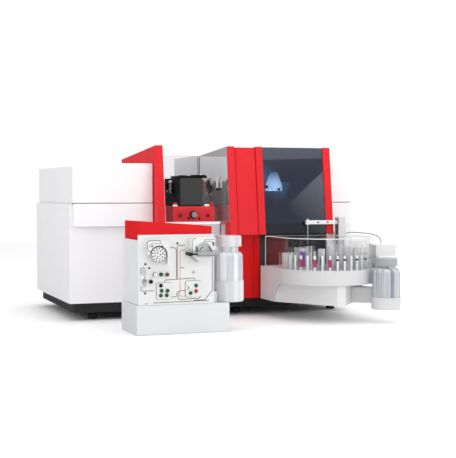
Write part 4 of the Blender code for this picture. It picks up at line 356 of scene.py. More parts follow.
KNOB_GREY = skin("knob_grey_plastic", (0.26, 0.27, 0.275), (0.22, 0.23, 0.235), (0.34, 0.44), (1400.0, 0.12))
RED = skin(
    "red_lacquer", (0.71, 0.030, 0.038), (0.67, 0.025, 0.032), (0.32, 0.40), (600.0, 0.05),
    Specular_IOR_Level=0.04)
CAP_RED = skin(
    "cap_red_lacquer", (0.66, 0.022, 0.028), (0.62, 0.018, 0.024), (0.32, 0.40), (600.0, 0.05),
    Specular_IOR_Level=0.0)
DARK_RED = skin(
    "dark_red_lacquer", (0.72, 0.002, 0.0035), (0.64, 0.0012, 0.002), (0.28, 0.36), (600.0, 0.05),
    Specular_IOR_Level=0.25)
BLACK = edged(
    "black_plastic", (0.008, 0.008, 0.009), (0.03, 0.03, 0.032), (0.36, 0.48), (900.0, 0.2), Specular_IOR_Level=0.14)
CELL_BLACK = edged(
    "cell_black", (0.006, 0.006, 0.006), (0.012, 0.012, 0.012), (0.44, 0.56), (900.0, 0.1), Specular_IOR_Level=0.04)
DARK_GREY = edged(
    "dark_grey_plate", (0.045, 0.045, 0.047), (0.075, 0.075, 0.078), (0.42, 0.52), (1100.0, 0.15),
    Specular_IOR_Level=0.25)
CABINET_GREY = skin(
    "cabinet_dark_grey", (0.040, 0.039, 0.041), (0.032, 0.031, 0.033), (0.40, 0.50), (700.0, 0.15),
    Specular_IOR_Level=0.3)
RUBBER = skin("foot_rubber", (0.016, 0.016, 0.017), (0.024, 0.024, 0.024), (0.62, 0.78), (1600.0, 0.4))
ANODISED = edged(
    "anodised_red_aluminium", (0.62, 0.032, 0.042), (0.74, 0.05, 0.06), (0.28, 0.38), (1200.0, 0.10), Metallic=0.30,
    Specular_IOR_Level=0.12)
STEEL = brushed(
    "polished_steel", (0.80, 0.80, 0.815), (0.78, 0.78, 0.795), (0.03, 0.06), (1.0, 1.0, 30.0), 0.004, 0.80)
SATIN_STEEL = brushed(
    "satin_steel", (0.66, 0.66, 0.67), (0.60, 0.60, 0.61), (0.22, 0.34), (1.0, 1.0, 30.0), 0.05)
PORT_STEEL = brushed(
    "port_steel", (0.30, 0.30, 0.31), (0.26, 0.26, 0.27), (0.20, 0.32), (1.0, 1.0, 30.0), 0.05)
ALUMINIUM = brushed(
    "satin_aluminium", (0.74, 0.75, 0.76), (0.68, 0.69, 0.70), (0.28, 0.40), (1.0, 24.0, 1.0), 0.06)
GRAPHITE = skin("graphite", (0.035, 0.035, 0.037), (0.055, 0.055, 0.058), (0.42, 0.58), (1500.0, 0.3))
SMOKED = clear("smoked_window", (0.105, 0.145, 0.23), 0.01, 1.45, 0.97, 0.008)
ACRYLIC = clear("clear_cover", (0.98, 0.985, 0.99), 0.02, 1.18, Alpha=0.26)
# Bright beads on the cover's edges: partly the acrylic's cut edge, partly a painted highlight.
CUT_EDGE_HIGHLIGHT = clear("cover_cut_edge_highlight", (0.97, 0.975, 0.98), 0.18, 1.40, 0.25)
BOTTLE_PALE = streaked("bottle_plastic_pale", (0.985, 0.99, 0.995), (0.60, 0.63, 0.68), 0.10, 1.40, 0.22, 70.0)
CAP_CLEAR = streaked("cap_plastic_clear", (0.90, 0.905, 0.915), (0.70, 0.715, 0.74), 0.12, 1.40, 0.30, 45.0)
BOTTLE_CLEAR = streaked("bottle_plastic", (0.83, 0.85, 0.885), (0.36, 0.39, 0.46), 0.10, 1.40, 0.38, 80.0)
FROSTED = streaked("frosted_plastic", (0.95, 0.955, 0.965), (0.80, 0.82, 0.85), 0.20, 1.40, 0.30, 60.0)
WATER = clear("clear_liquid", (0.86, 0.885, 0.92), 0.0, 1.33, 0.7, 0.004)
# Vials and cups: their first colour is the painted shade at their outlines.
VIAL = walled(
    "vial_plastic", (0.045, 0.05, 0.055), 0.95, (1.0, 1.0, 1.0), (0.88, 0.89, 0.90), 0.12, 1.45, 0.0, 90.0,
    Specular_IOR_Level=0.3)
CUP_CLEAR = walled(
    "cup_plastic", (0.78, 0.80, 0.83), 0.45, (0.99, 0.99, 0.995), (0.50, 0.52, 0.55), 0.04, 1.45, 0.10, 120.0)
GLASS = clear("separator_glass", (0.96, 0.97, 0.97), 0.01, 1.35, 0.95)
HOSE = skin("hose_black", (0.02, 0.02, 0.021), (0.03, 0.03, 0.031), (0.35, 0.5), (2000.0, 0.1))
INK_GREY = skin("print_grey", (0.045, 0.055, 0.055), (0.07, 0.08, 0.08), (0.5, 0.6), (1500.0, 0.05))
INK_BLACK = skin("print_black", (0.012, 0.012, 0.013), (0.02, 0.02, 0.02), (0.5, 0.6), (1500.0, 0.05))
INK_RED = skin("print_red", (0.72, 0.09, 0.10), (0.78, 0.14, 0.14), (0.45, 0.55), (1500.0, 0.05))
GREEN = skin("port_green", (0.002, 0.075, 0.034), (0.004, 0.105, 0.05), (0.30, 0.42), (1500.0, 0.08))
PORT_RED = skin("port_red", (0.46, 0.006, 0.010), (0.52, 0.015, 0.018), (0.30, 0.42), (1500.0, 0.08))
PURPLE = skin("reagent_purple", (0.17, 0.05, 0.33), (0.22, 0.07, 0.40), (0.2, 0.3), (900.0, 0.05))
MAGENTA = skin("sample_magenta", (0.50, 0.03, 0.13), (0.58, 0.05, 0.18), (0.2, 0.3), (900.0, 0.05))
PINK = skin("arm_tip_pink", (0.80, 0.33, 0.32), (0.76, 0.29, 0.28), (0.3, 0.4), (1200.0, 0.08))
CLIP_WHITE = skin("small_part_white", (0.90, 0.90, 0.90), (0.86, 0.86, 0.86), (0.28, 0.38), (1500.0, 0.06))
FITTING_GREY = skin("fitting_grey", (0.30, 0.30, 0.30), (0.20, 0.20, 0.20), (0.30, 0.40), (1500.0, 0.08))
GASKET_RED = skin("gasket_red", (0.22, 0.006, 0.010), (0.28, 0.012, 0.016), (0.40, 0.52), (1500.0, 0.08))
# Emissive white that paints the bright lower edge of the furnace's glow.
GLOW_EDGE_WHITE = skin(
    "glow_edge_white", (0.9, 0.95, 1.0), (0.85, 0.92, 1.0), (0.3, 0.4), (1500.0, 0.05),
    Emission_Color=(0.93, 0.97, 1.0, 1), Emission_Strength=9.0)


def lit(name, colour, rough, strength, near, far, middle, reach):
    """Satin surface lit from inside: its light fades outwards from a point."""
    material, tree, shader = shader_of(name, Metallic=0.6, Emission_Strength=strength)
    made = use_group(
        tree, SKIN, Colour=(*colour, 1), Cloud_Colour=(*[c * 0.9 for c in colour], 1), Low_Roughness=rough,
        High_Roughness=rough + 0.08)
    feed(tree, made, shader, "Colour", "Roughness", "Normal")
    glow = use_group(tree, GLOW, Near=(*near, 1), Far=(*far, 1), Middle=middle, Reach=reach)
    tree.links.new(glow.outputs["Colour"], shader.inputs["Emission Color"])
    material.diffuse_color = (*colour, 1)
    return material


# Surfaces: every grid is rows of points, closed round each row

def lathe(profile, middle, axis="Z", sides=48):
    """Point at (row, angle) is the middle plus the row's radius turned by the angle, plus its
    distance along the axis. Profile is (radius, distance) pairs."""
    profile = np.array(profile, float)
    angle = np.linspace(0, 2 * np.pi, sides, endpoint=False)
    out = profile[:, :1]
    along = np.repeat(profile[:, 1:], sides, axis=1)
    a, b = out * np.cos(angle), out * np.sin(angle)
    order = {"Z": (a, b, along), "Y": (a, along, b), "X": (along, a, b)}[axis]
    return np.stack(order, axis=-1) + np.asarray(middle, float)


def ribbed(profile, middle, ribs, depth, steps=4):
    """A lathe whose radius swells and sinks round it as a cosine: rows are (radius, height,
    how much of the depth they take)."""
    profile = np.array(profile, float)
    sides = ribs * steps
    angle = np.linspace(0, 2 * np.pi, sides, endpoint=False)
    wave = (0.5 - 0.5 * np.cos(ribs * angle)) * depth
    out = profile[:, :1] - profile[:, 2:] * wave
    height = np.repeat(profile[:, 1:2], sides, axis=1)
    return np.stack([out * np.cos(angle), out * np.sin(angle), height], axis=-1) + np.asarray(middle, float)


def tube(path, radius, sides=10, flat=1.0):
    """Circles (or flattened ones) square to a path, each turned as little as possible from the
    last; the ends close on the path's first and last point."""
    path = np.asarray(path, float)
    tangent = np.gradient(path, axis=0)
    tangent /= np.linalg.norm(tangent, axis=1, keepdims=True)
    normal = np.zeros_like(path)
    start = np.array([0.0, -1.0, 0.0]) if abs(tangent[0][1]) < 0.9 else np.array([1.0, 0.0, 0.0])
    for i, way in enumerate(tangent):
        start = start - way * np.dot(start, way)
        start = start / np.linalg.norm(start)
        normal[i] = start
    side = np.cross(tangent, normal)
    angle = np.linspace(0, 2 * np.pi, sides, endpoint=False)
    ring = (
        normal[:, None] * np.cos(angle)[None, :, None] * flat + side[:, None] * np.sin(angle)[None, :, None]
    ) * radius
    body = path[:, None] + ring
    first = np.repeat(path[:1, None], sides, axis=1)
    last = np.repeat(path[-1:, None], sides, axis=1)
    return np.concatenate([first, body, last])


def rounded_ring(width, height, radius, steps=6):
    """Points of a rectangle round zero whose corners are quarter circles."""
    radius = min(radius, width / 2 - 1e-5, height / 2 - 1e-5)
    quarter = np.linspace(0, np.pi / 2, steps + 1)
    across = width / 2 - radius
    up = height / 2 - radius
    points = []
    for turn, (sx, sy) in enumerate(((1, 1), (-1, 1), (-1, -1), (1, -1))):
        angle = quarter + turn * np.pi / 2
        points.append(np.stack([sx * across + radius * np.cos(angle), sy * up + radius * np.sin(angle)], axis=1))
    return np.concatenate(points)


def pad(middle, width, height, thickness, radius, edge, plane="XZ", steps=6):
    """Plate with rounded corners and a rounded front edge: rings of the same rectangle, drawn
    in by the edge's circle as they rise to the front, closed at the middle of both faces."""
    turn = np.linspace(0, np.pi / 2, 5)
    levels = [(0.0, 0.0)] + [(edge * (1 - np.cos(t)), thickness - edge + edge * np.sin(t)) for t in turn]
    rows = []
    for inset, level in levels:
        ring = rounded_ring(width - 2 * inset, height - 2 * inset, max(radius - inset, 1e-4), steps)
        rows.append(np.column_stack([ring, np.full(len(ring), level)]))
    grid = np.stack([rows[0] * (0, 0, 1)] + rows + [rows[-1] * (0, 0, 1)])
    a, b, c = grid[..., 0], grid[..., 1], grid[..., 2]
    turned = {"XZ": (a, -c, b), "XY": (a, b, c), "YZ": (c, a, b), "-YZ": (-c, a, b), "+XZ": (a, c, b)}[plane]
    return np.stack(turned, axis=-1) + np.asarray(middle, float)


def round_corners(points, radius, steps=5):
    """Path through points with each inner corner replaced by a quadratic curve that starts and
    ends a radius away from it."""
    points = np.asarray(points, float)
    path = [points[0]]
    for before, here, after in zip(points, points[1:], points[2:]):
        first, last = (
            here + (end - here) / np.linalg.norm(end - here) * min(radius, np.linalg.norm(end - here) / 2)
            for end in (before, after))
        t = np.linspace(0, 1, steps)[:, None]
        path.extend((1 - t) ** 2 * first + 2 * t * (1 - t) * here + t ** 2 * last)
    path.append(points[-1])
    return np.array(path)


def ring_of(grid, middle, count, start=0.0):
    """Copies of a grid turned round an upright axis through middle."""
    copies = []
    for angle in start + np.arange(count) * 2 * np.pi / count:
        c, s = np.cos(angle), np.sin(angle)
        turn = np.array([[c, -s, 0], [s, c, 0], [0, 0, 1]])
        copies.append((grid - middle) @ turn.T + middle)
    return copies


MERGE_DISTANCE = 1e-7
CAD_MERGE_DISTANCE = 2e-6
FLAT_ANGLE = math.radians(0.4)
BEVEL_ANGLE = math.radians(40)


def grid_mesh(name, grids):
    """Mesh of closed grids, each row joined to the next by a ring of faces."""
    vertices, faces, first = [], [], 0
    for grid in grids if isinstance(grids, list) else [grids]:
        rows, sides = grid.shape[:2]
        number = np.arange(rows * sides).reshape(rows, sides) + first
        after = np.roll(number, -1, axis=1)
        faces.append(np.stack([number[:-1], after[:-1], after[1:], number[1:]], axis=-1).reshape(-1, 4))
        vertices.append(grid.reshape(-1, 3))
        first += rows * sides
    mesh = bpy.data.meshes.new(name)
    mesh.from_pydata(np.concatenate(vertices).tolist(), [], np.concatenate(faces).tolist())
    edit = bmesh.new()
    edit.from_mesh(mesh)
    bmesh.ops.remove_doubles(edit, verts=edit.verts, dist=MERGE_DISTANCE)
    bmesh.ops.dissolve_degenerate(edit, edges=edit.edges, dist=1e-8)
    bmesh.ops.recalc_face_normals(edit, faces=edit.faces)
    edit.to_mesh(mesh)
    edit.free()
    return mesh


def piece(name, grids, body, finish, smooth=38, replaces=(), edge=None):
    """One object out of closed grids, riding on a body."""
    return settle(name, grid_mesh(name, grids), body, finish, smooth, replaces, edge)


def weigh_normals(mesh, smooth):
    """Corner normals: the normals of the faces round the corner's point that lie within the
    smoothing angle of its own face, each times its area, added up. Flat faces stay flat."""
    count, faces = len(mesh.loops), len(mesh.polygons)
    point, size = np.empty(count, int), np.empty(faces, int)
    normal, area = np.empty(faces * 3), np.empty(faces)
    mesh.loops.foreach_get("vertex_index", point)
    mesh.polygons.foreach_get("loop_total", size)
    mesh.polygons.foreach_get("normal", normal)
    mesh.polygons.foreach_get("area", area)
    face = np.repeat(np.arange(faces), size)
    normal = normal.reshape(-1, 3)
    order = np.argsort(point, kind="stable")
    first = np.searchsorted(point[order], point, "left")
    shared = np.searchsorted(point[order], point, "right") - first
    here = np.repeat(np.arange(count), shared)
    step = np.arange(len(here)) - np.repeat(np.cumsum(shared) - shared, shared)
    other = order[np.repeat(first, shared) + step]
    own, near = normal[face[here]], normal[face[other]]
    weight = area[face[other]] * ((own * near).sum(axis=1) > math.cos(math.radians(smooth)))
    total = np.stack([np.bincount(here, weights=near[:, k] * weight, minlength=count) for k in range(3)], axis=1)
    length = np.linalg.norm(total, axis=1, keepdims=True)
    total = np.where(length > 1e-14, total / np.maximum(length, 1e-14), normal[face])
    mesh.normals_split_custom_set(total.tolist())


def settle(name, mesh, body, finish, smooth, replaces, edge=None):
    """Links a mesh as an object with its finish, edges and body."""
    made = bpy.data.objects.new(name, mesh)
    bpy.context.scene.collection.objects.link(made)
    mesh.materials.clear()
    mesh.materials.append(finish)
    if "custom_normal" in mesh.attributes:
        mesh.attributes.remove(mesh.attributes["custom_normal"])
    mesh.shade_smooth()
    mesh.set_sharp_from_angle(angle=math.radians(smooth))
    weigh_normals(mesh, smooth)
    if edge:
        modifier = made.modifiers.new("soft_edge", "BEVEL")
        modifier.width = edge
        modifier.segments = 3
        modifier.limit_method = "ANGLE"
        modifier.angle_limit = BEVEL_ANGLE
        modifier.harden_normals = True
    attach(made, body)
    if replaces:
        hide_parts(*replaces)
    return made


def refined(node_name, finish, smooth=35, edge=None):
    """Copy of a CAD node with its points merged and flat areas joined, so that it shades as
    one moulded or machined body and its edges can be softened."""
    mesh = NODES[node_name].data.copy()
    edit = bmesh.new()
    edit.from_mesh(mesh)
    bmesh.ops.remove_doubles(edit, verts=edit.verts, dist=CAD_MERGE_DISTANCE)
    bmesh.ops.dissolve_limit(
        edit, angle_limit=FLAT_ANGLE, verts=edit.verts, edges=edit.edges, use_dissolve_boundaries=False)
    edit.to_mesh(mesh)
    edit.free()
    return settle(node_name + "_skin", mesh, BODY_OF[node_name], finish, smooth, (node_name,), edge)


def refine_all(rows):
    """Refined copies of CAD nodes: rows are (names, finish, smoothing angle)."""
    for names, finish, smooth in rows:
        for name in names.split():
            refined(name, finish, smooth)


# Camera, before anything that depends on the view

def set_camera():
    camera = bpy.data.cameras.new("camera")
    camera.sensor_width = 36.0
    camera.lens = 84.58
    camera.clip_end = 60.0
    seen = bpy.data.objects.new("camera", camera)
    seen.location = place(-0.848, -3.924, 0.487)
    seen.rotation_euler = (math.radians(90 - 2.06), 0.0, math.radians(-20.59))
    bpy.context.scene.collection.objects.link(seen)
    bpy.context.scene.camera = seen


# The hose: the same route as in the CAD part

HOSE_ROUTE = [
    (0.00, 0.0000), (0.00, 0.0030), (0.012, 0.0070), (0.05, 0.0135), (0.12, 0.0185), (0.22, 0.0215),
    (0.34, 0.0235), (0.46, 0.0250), (0.58, 0.0260), (0.70, 0.0265), (0.80, 0.0255), (0.88, 0.0225),
    (0.94, 0.0180), (0.98, 0.0120), (0.997, 0.0065), (1.00, 0.0030), (1.00, 0.0000),
]


def curve_through(points, steps):
    """Catmull-Rom curve: each stretch is the cubic whose slope at a point is half the step
    between its neighbours."""
    points = np.asarray(points, float)
    before = np.concatenate([points[:1], points[:-1]])
    after = np.concatenate([points[1:], points[-1:]])
    slope = (after - before) / 2
    t = np.linspace(0, 1, steps, endpoint=False)[None, :, None]
    p, q, m, n = points[:-1, None], points[1:, None], slope[:-1, None], slope[1:, None]
    stretch = (
        (2 * t ** 3 - 3 * t ** 2 + 1) * p + (t ** 3 - 2 * t ** 2 + t) * m + (3 * t ** 2 - 2 * t ** 3) * q
        + (t ** 3 - t ** 2) * n)
    return np.concatenate([stretch.reshape(-1, 3), points[-1:]])


def build_hose():
    radius = 0.0013
    start = place(1.1055, -0.0455, 0.3013)
    end = place(1.138, -0.295, 0.2892)
    shares = np.array(HOSE_ROUTE)
    route = start + (end - start) * shares[:, :1]
    route[:, 2] += shares[:, 1]
    path = curve_through(route, 4)
    hose = piece("rinse_hose_tube", tube(path, radius, 12), INSTRUMENT, HOSE, 60, ("rinse_hose",))


# Main cabinets

def build_cabinets():
    """Cabinets, lids, fascias, panels and walls, each from its CAD node."""
    refine_all((
        ("left_cabinet right_cabinet rear_cover", PAINT_WHITE, 35),
        ("left_lid right_lid left_fascia right_fascia", PAINT_WHITE, 30),
        ("center_cabinet", CABINET_GREY, 35), ("lower_front_panel", PALE_GREY, 35),
        ("center_lower_panel", DARK_RED, 35), ("left_wall right_wall rear_hood", RED, 35)))
    refined("center_wall", RED, 35, 0.0008)
    refine_all((("plinth", BLACK, 35), ("lid_hinge", SATIN_STEEL, 35)))
    build_feet()
    build_rear()


def foot_profile(radius, height):
    """Rubber foot: a skirt with two soft grooves under a narrower neck."""
    r, h = radius, height
    return [
        (0, 0), (r * 0.80, 0), (r * 0.92, h * 0.03), (r, h * 0.12), (r, h * 0.25), (r * 0.965, h * 0.28),
        (r * 0.965, h * 0.32), (r, h * 0.35), (r, h * 0.58), (r * 0.95, h * 0.63), (r * 0.78, h * 0.68),
        (r * 0.74, h * 0.74), (r * 0.74, h), (0, h),
    ]


def build_feet():
    for name in ("foot_front_left", "foot_front_right", "foot_rear_left", "foot_rear_right"):
        low, high = corners(name)
        profile = foot_profile((high[0] - low[0]) / 2, high[2] - low[2])
        piece(name + "_rubber", lathe(profile, face_middle(name, 2, 0), "Z", 40), INSTRUMENT, RUBBER, 40, (name,))


def build_rear():
    """Back of the instrument: switch bezel, inlet pins, gas nipples, screws and a blank plate."""
    back = corners("center_cabinet")[1][1] - 0.016
    switch = centre("power_switch")
    refined("power_switch", BLACK, 30)
    bezel = rounded_bezel((switch[0], back, switch[2]), (0.0185, 0.0275), (0.026, 0.035), 0.0015)
    piece("switch_bezel", bezel, INSTRUMENT, BLACK, 40)
    inlet_x, inlet_z = switch[0] + 0.045, switch[2]
    piece(
        "inlet_bezel", rounded_bezel((inlet_x, back, inlet_z), (0.0275, 0.0205), (0.040, 0.030), 0.0018),
        INSTRUMENT, BLACK, 40)
    pins = []
    for dx, dz in ((-0.007, -0.002), (0.0, 0.003), (0.007, -0.002)):
        pins.append(pad((inlet_x + dx, back - 0.018, inlet_z + dz), 0.002, 0.0055, 0.013, 0.0007, 0.0006, "+XZ", 2))
    piece("inlet_pins", pins, INSTRUMENT, SATIN_STEEL, 40)
    nipples = []
    for i in range(3):
        x = inlet_x + 0.045 * (i + 2)
        nipples.append(lathe(
            [(0.0071, 0.0002), (0.0085, 0.0002), (0.0085, 0.0055), (0.0071, 0.0065)], (x, back, inlet_z), "Y", 6))
    piece("gas_nipple_nuts", nipples, INSTRUMENT, SATIN_STEEL, 30)
    heads = []
    low, high = corners("rear_cover")
    for x in (low[0] + 0.012, (low[0] + high[0]) / 2, high[0] - 0.012):
        for z in (low[2] + 0.012, high[2] - 0.012):
            heads.append(screw_head((x, high[1], z), 0.004, 0.0016, "+"))
    piece("rear_cover_screws", heads, INSTRUMENT, SATIN_STEEL, 30)
    plate_at = (inlet_x + 0.36, back, inlet_z)
    piece("blank_rear_plate", pad(plate_at, 0.09, 0.045, 0.0008, 0.004, 0.0003, "+XZ", 4), INSTRUMENT, ALUMINIUM, 30)


def screw_head(middle, radius, height, way="-"):
    """Domed head with a round recess, facing front (-) or back (+)."""
    rows = [(0, 0.0), (radius, 0.0), (radius, height * 0.4), (radius * 0.8, height * 0.85), (radius * 0.45, height),
            (radius * 0.40, height * 0.35), (0, height * 0.35)]
    sign = -1 if way == "-" else 1
    return lathe([(r, sign * h) for r, h in rows], middle, "Y", 16)


def rounded_bezel(middle, inner, outer, height):
    """Flat frame round an opening in a face that looks to +Y: rows go out along the face, over
    the rim and back into the opening."""
    rows = []
    for (w, h), level in ((inner, 0.0), (outer, 0.0), (outer, height * 0.6),
        ((outer[0] - 0.002, outer[1] - 0.002), height),
                          ((inner[0] + 0.001, inner[1] + 0.001), height), (inner, height * 0.7), (inner, 0.0)):
        ring = rounded_ring(w, h, 0.002, 3)
        rows.append(np.stack([ring[:, 0], np.full(len(ring), level), ring[:, 1]], axis=1))
    return np.stack(rows) + np.asarray(middle, float)


# Flame bay

def build_flame_bay():
    """Polished lining with a dark seam in its corner, and the beam port: a low ring with a
    chamfered rim, a dished inside and a dark bore."""
    refined("flame_liner", STEEL, 35)
    seam_low, seam_high = place(0.6002, 0.2690, 0.3778), place(0.6018, 0.2700, 0.625)
    middle = (seam_low + seam_high) / 2
    piece(
        "liner_corner_seam",
        pad((middle[0], seam_high[1], middle[2]), 0.0014, seam_high[2] - seam_low[2], 0.0012, 0.0003, 0.0002, "XZ", 1),
        INSTRUMENT, DARK_GREY, 35)
    middle = face_middle("beam_port", 0, 1)
    ring = [
        (0, -0.0008), (0.0181, -0.0008), (0.0185, -0.0030), (0.0197, -0.0036), (0.0265, -0.0044), (0.0283, -0.0062),
        (0.0289, -0.0065), (0.0312, -0.0065), (0.0318, -0.0061), (0.0351, -0.0028), (0.0355, -0.0022), (0.0355, 0),
        (0, 0)]
    piece("beam_port_ring", lathe(ring, middle, "X", 72), INSTRUMENT, PORT_STEEL, 35, ("beam_port",))
    dish = [
        (0.0192, -0.0034), (0.0196, -0.0039), (0.0264, -0.0047), (0.0270, -0.0046), (0.0264, -0.0042),
        (0.0196, -0.0034), (0.0192, -0.0034)]
    piece("beam_port_dish", lathe(dish, middle, "X", 72), INSTRUMENT, DARK_GREY, 35)
    holes = [lathe([(0, -0.0009), (0.0180, -0.0009), (0.0180, -0.0014), (0, -0.0014)], middle, "X", 48)]
    holes.append(lathe(
        [(0, -0.0046), (0.0034, -0.0046), (0.0034, -0.0052), (0, -0.0052)], middle + np.array([0, 0, 0.0232]), "X", 20))
    piece("beam_port_holes", holes, INSTRUMENT, BLACK, 35)
    # Black strip on the lower front panel: painted shade of the gap beside it.
    front = corners("lower_front_panel")[0][1]
    piece(
        "panel_gap_shade", pad(place(0.5831, front - FRONT_Y, 0.3398), 0.0035, 0.0478, 0.0004, 0.0004, 0.0002, "XZ", 1),
        INSTRUMENT, BLACK, 35)
    build_cell_unit()


def build_cell_unit():
    """Red block with black painted shade lining its holes, knob and clips, and the black housing with its front plate.
    """
    refined("cell_base", ANODISED, 30)
    refined("cell_housing", CELL_BLACK, 30)
    refined("cell_top_plate", CELL_BLACK, 30)
    low, high = corners("cell_front_plate")
    width, depth, height = high - low
    piece(
        "cell_front_plate_pad", pad(face_middle("cell_front_plate", 1, 1), width, height, depth, 0.006, 0.0014),
        INSTRUMENT, DARK_GREY, 35, ("cell_front_plate",))
    low, high = corners("cell_base")
    top = low[2] + 0.0585
    middle_x = (low[0] + high[0]) / 2
    # Black linings in the block's holes are painted shade; red pins sit in the larger ones.
    hole_shades, pins = [], []
    for spread, rise, r in ((0.0555, 0.0225, 0.0060), (0.0215, 0.0115, 0.0042)):
        for side in (-1, 1):
            at = (middle_x + side * spread, low[1], low[2] + rise)
            hole_shades.append(lathe(
                [(0, 0.0035), (r - 0.0002, 0.0035), (r - 0.0002, -0.0001), (r + 0.0007, -0.0001), (r + 0.0006, -0.0005),
                 (r - 0.0008, -0.0005), (r - 0.0012, 0.0018), (0, 0.0018)], at, "Y", 28))
            if r > 0.005:
                pins.append(lathe([(0, 0.0017), (0.0022, 0.0017), (0.0020, 0.0006), (0, 0.0004)], at, "Y", 16))
    piece("block_hole_shades", hole_shades, INSTRUMENT, BLACK, 35)
    piece("block_hole_pins", pins, INSTRUMENT, ANODISED, 35)
    caps = []
    for x in (low[0] + 0.011, high[0] - 0.011):
        caps.append(ribbed(
            [(0.0051, 0.0035, 0), (0.0074, 0.0035, 1), (0.0077, 0.005, 1), (0.0077, 0.0125, 1), (0.0066, 0.0146, 0),
             (0.0, 0.0148, 0)], (x, low[1] + 0.011, top), 18, 0.0007))
    piece("thumb_screw_caps", caps, INSTRUMENT, ANODISED, 40)
    clips = [
        pad((place(0.4035, 0, 0)[0], low[1] + 0.002, top + 0.0035), 0.018, 0.0062, 0.0045, 0.0022, 0.0008, "XZ"),
        pad((place(0.5325, 0, 0)[0], low[1] + 0.006, top + 0.0040), 0.020, 0.0072, 0.0050, 0.0026, 0.0008, "XZ")]
    piece("block_clips", clips, INSTRUMENT, CLIP_WHITE, 35)
    middle = face_middle("cell_knob", 1, 1)
    collar = [
        (0, 0), (0.0146, 0), (0.015, -0.0008), (0.015, -0.0032), (0.0140, -0.0042), (0.0118, -0.0044), (0, -0.0044)]
    piece("cell_knob_collar", lathe(collar, middle, "Y", 48), "cell_knob", BLACK, 40, ("cell_knob",))
    turned = ribbed(
        [(0, 0.0046, 0), (0.0112, 0.0046, 1), (0.0112, 0.0140, 1), (0.0104, 0.0155, 0.3), (0.0085, 0.0159, 0),
         (0.0075, 0.0152, 0), (0, 0.0152, 0)], (0, 0, 0), 26, 0.0010)
    turned = np.stack([turned[..., 0], -turned[..., 2], turned[..., 1]], axis=-1) + middle
    piece("cell_knob_grip", turned, "cell_knob", KNOB_GREY, 40)
    build_fitting()
    build_top_bracket()
    build_white_tube()


def build_fitting():
    """Grey fitting with a white cap on the left of the housing; a red gasket, a small white window
    and a steel ring on its right."""
    front_low, front_high = corners("cell_front_plate")
    z = place(0, 0, 0.5007)[2]
    stem = np.array([corners("cell_housing")[0][0] + 0.0050, place(0, 0.088, 0)[1], z])
    body = [
        (0, -0.0245), (0.0058, -0.0245), (0.0062, -0.0238), (0.0062, -0.012), (0.0072, -0.011), (0.0072, -0.004),
        (0.0064, -0.003), (0.0068, 0.0150), (0.0060, 0.0160), (0, 0.0160)]
    nub = lathe(
        [(0, 0), (0.0032, 0), (0.0040, -0.001), (0.0040, -0.004), (0.0030, -0.0052), (0, -0.0054)],
        stem + np.array([-0.0052, 0.020, -0.0165]), "X", 20)
    piece("cell_gas_fitting", [lathe(body, stem, "Z", 32), nub], INSTRUMENT, FITTING_GREY, 35)
    cap = [(0, 0.0162), (0.0070, 0.0162), (0.0074, 0.0170), (0.0074, 0.0225), (0.0062, 0.0240), (0, 0.0244)]
    piece("cell_gas_fitting_cap", lathe(cap, stem, "Z", 32), INSTRUMENT, CLIP_WHITE, 35)
    right = front_high[0]
    piece(
        "cell_red_gasket", pad((right + 0.0005, front_low[1] + 0.024, z), 0.030, 0.052, 0.0085, 0.003, 0.001, "YZ"),
        INSTRUMENT, GASKET_RED, 35)
    piece(
        "cell_lamp_window",
        pad((right + 0.0020, front_low[1] + 0.010, place(0, 0, 0.5345)[2]), 0.008, 0.0075, 0.0085, 0.0015, 0.0008,
            "YZ"),
        INSTRUMENT, CLIP_WHITE, 35)
    piece(
        "cell_window_ring",
        lathe([(0.0142, 0.0003), (0.020, 0.0003), (0.020, 0.004), (0.0187, 0.0052), (0.0160, 0.0052), (0.0142, 0.004)],
              (right, place(0, 0.144, 0)[1], z), "X", 48), INSTRUMENT, SATIN_STEEL, 35)


def build_top_bracket():
    """Bracket on the top plate with its white screw, and a row of low ribs to the left of it."""
    top = corners("cell_top_plate")[1][2]
    plate = pad(place(0.5010, -0.0045, top), 0.054, 0.032, 0.0040, 0.003, 0.0012, "XY")
    ribs = [pad(place(x, 0.022, top), 0.0058, 0.030, 0.0026, 0.0024, 0.0012, "XY") for x in (0.4375, 0.4470, 0.4565)]
    piece("top_bracket", [plate] + ribs, INSTRUMENT, CELL_BLACK, 35)
    screw = [(0, 0), (0.0038, 0), (0.0038, 0.0012), (0.0028, 0.0024), (0, 0.0027)]
    piece(
        "bracket_screw", lathe(screw, place(0.5085, -0.0135, top + 0.0041), "Z", 24), INSTRUMENT, CLIP_WHITE, 35)


def build_white_tube():
    """White tube on a black holder that reaches out from the lining's right side."""
    at = place(0.5943, 0.0352, 0.5175)
    tube_rows = [
        (0, -0.0215), (0.0050, -0.0215), (0.0054, -0.0205), (0.0054, -0.0160), (0.0046, -0.0150), (0.0046, 0.0150),
        (0.0060, 0.0165), (0.0060, 0.0205), (0.0054, 0.0215), (0.0036, 0.0215), (0.0036, 0.014), (0, 0.014)]
    piece("white_tube", lathe(tube_rows, at, "Z", 32), INSTRUMENT, CLIP_WHITE, 35)
    holder = lathe([(0, -0.0300), (0.0050, -0.0300), (0.0062, -0.0285), (0.0062, -0.0218), (0, -0.0218)], at, "Z", 32)
    arm = pad(
        (at[0] + 0.0030, at[1], at[2] - 0.0258), 0.010, 0.007, place(0.6021, 0, 0)[0] - at[0] - 0.0030, 0.001,
        0.0006, "YZ", 2)
    piece("white_tube_holder", [holder, arm], INSTRUMENT, BLACK, 35)


# Furnace bay

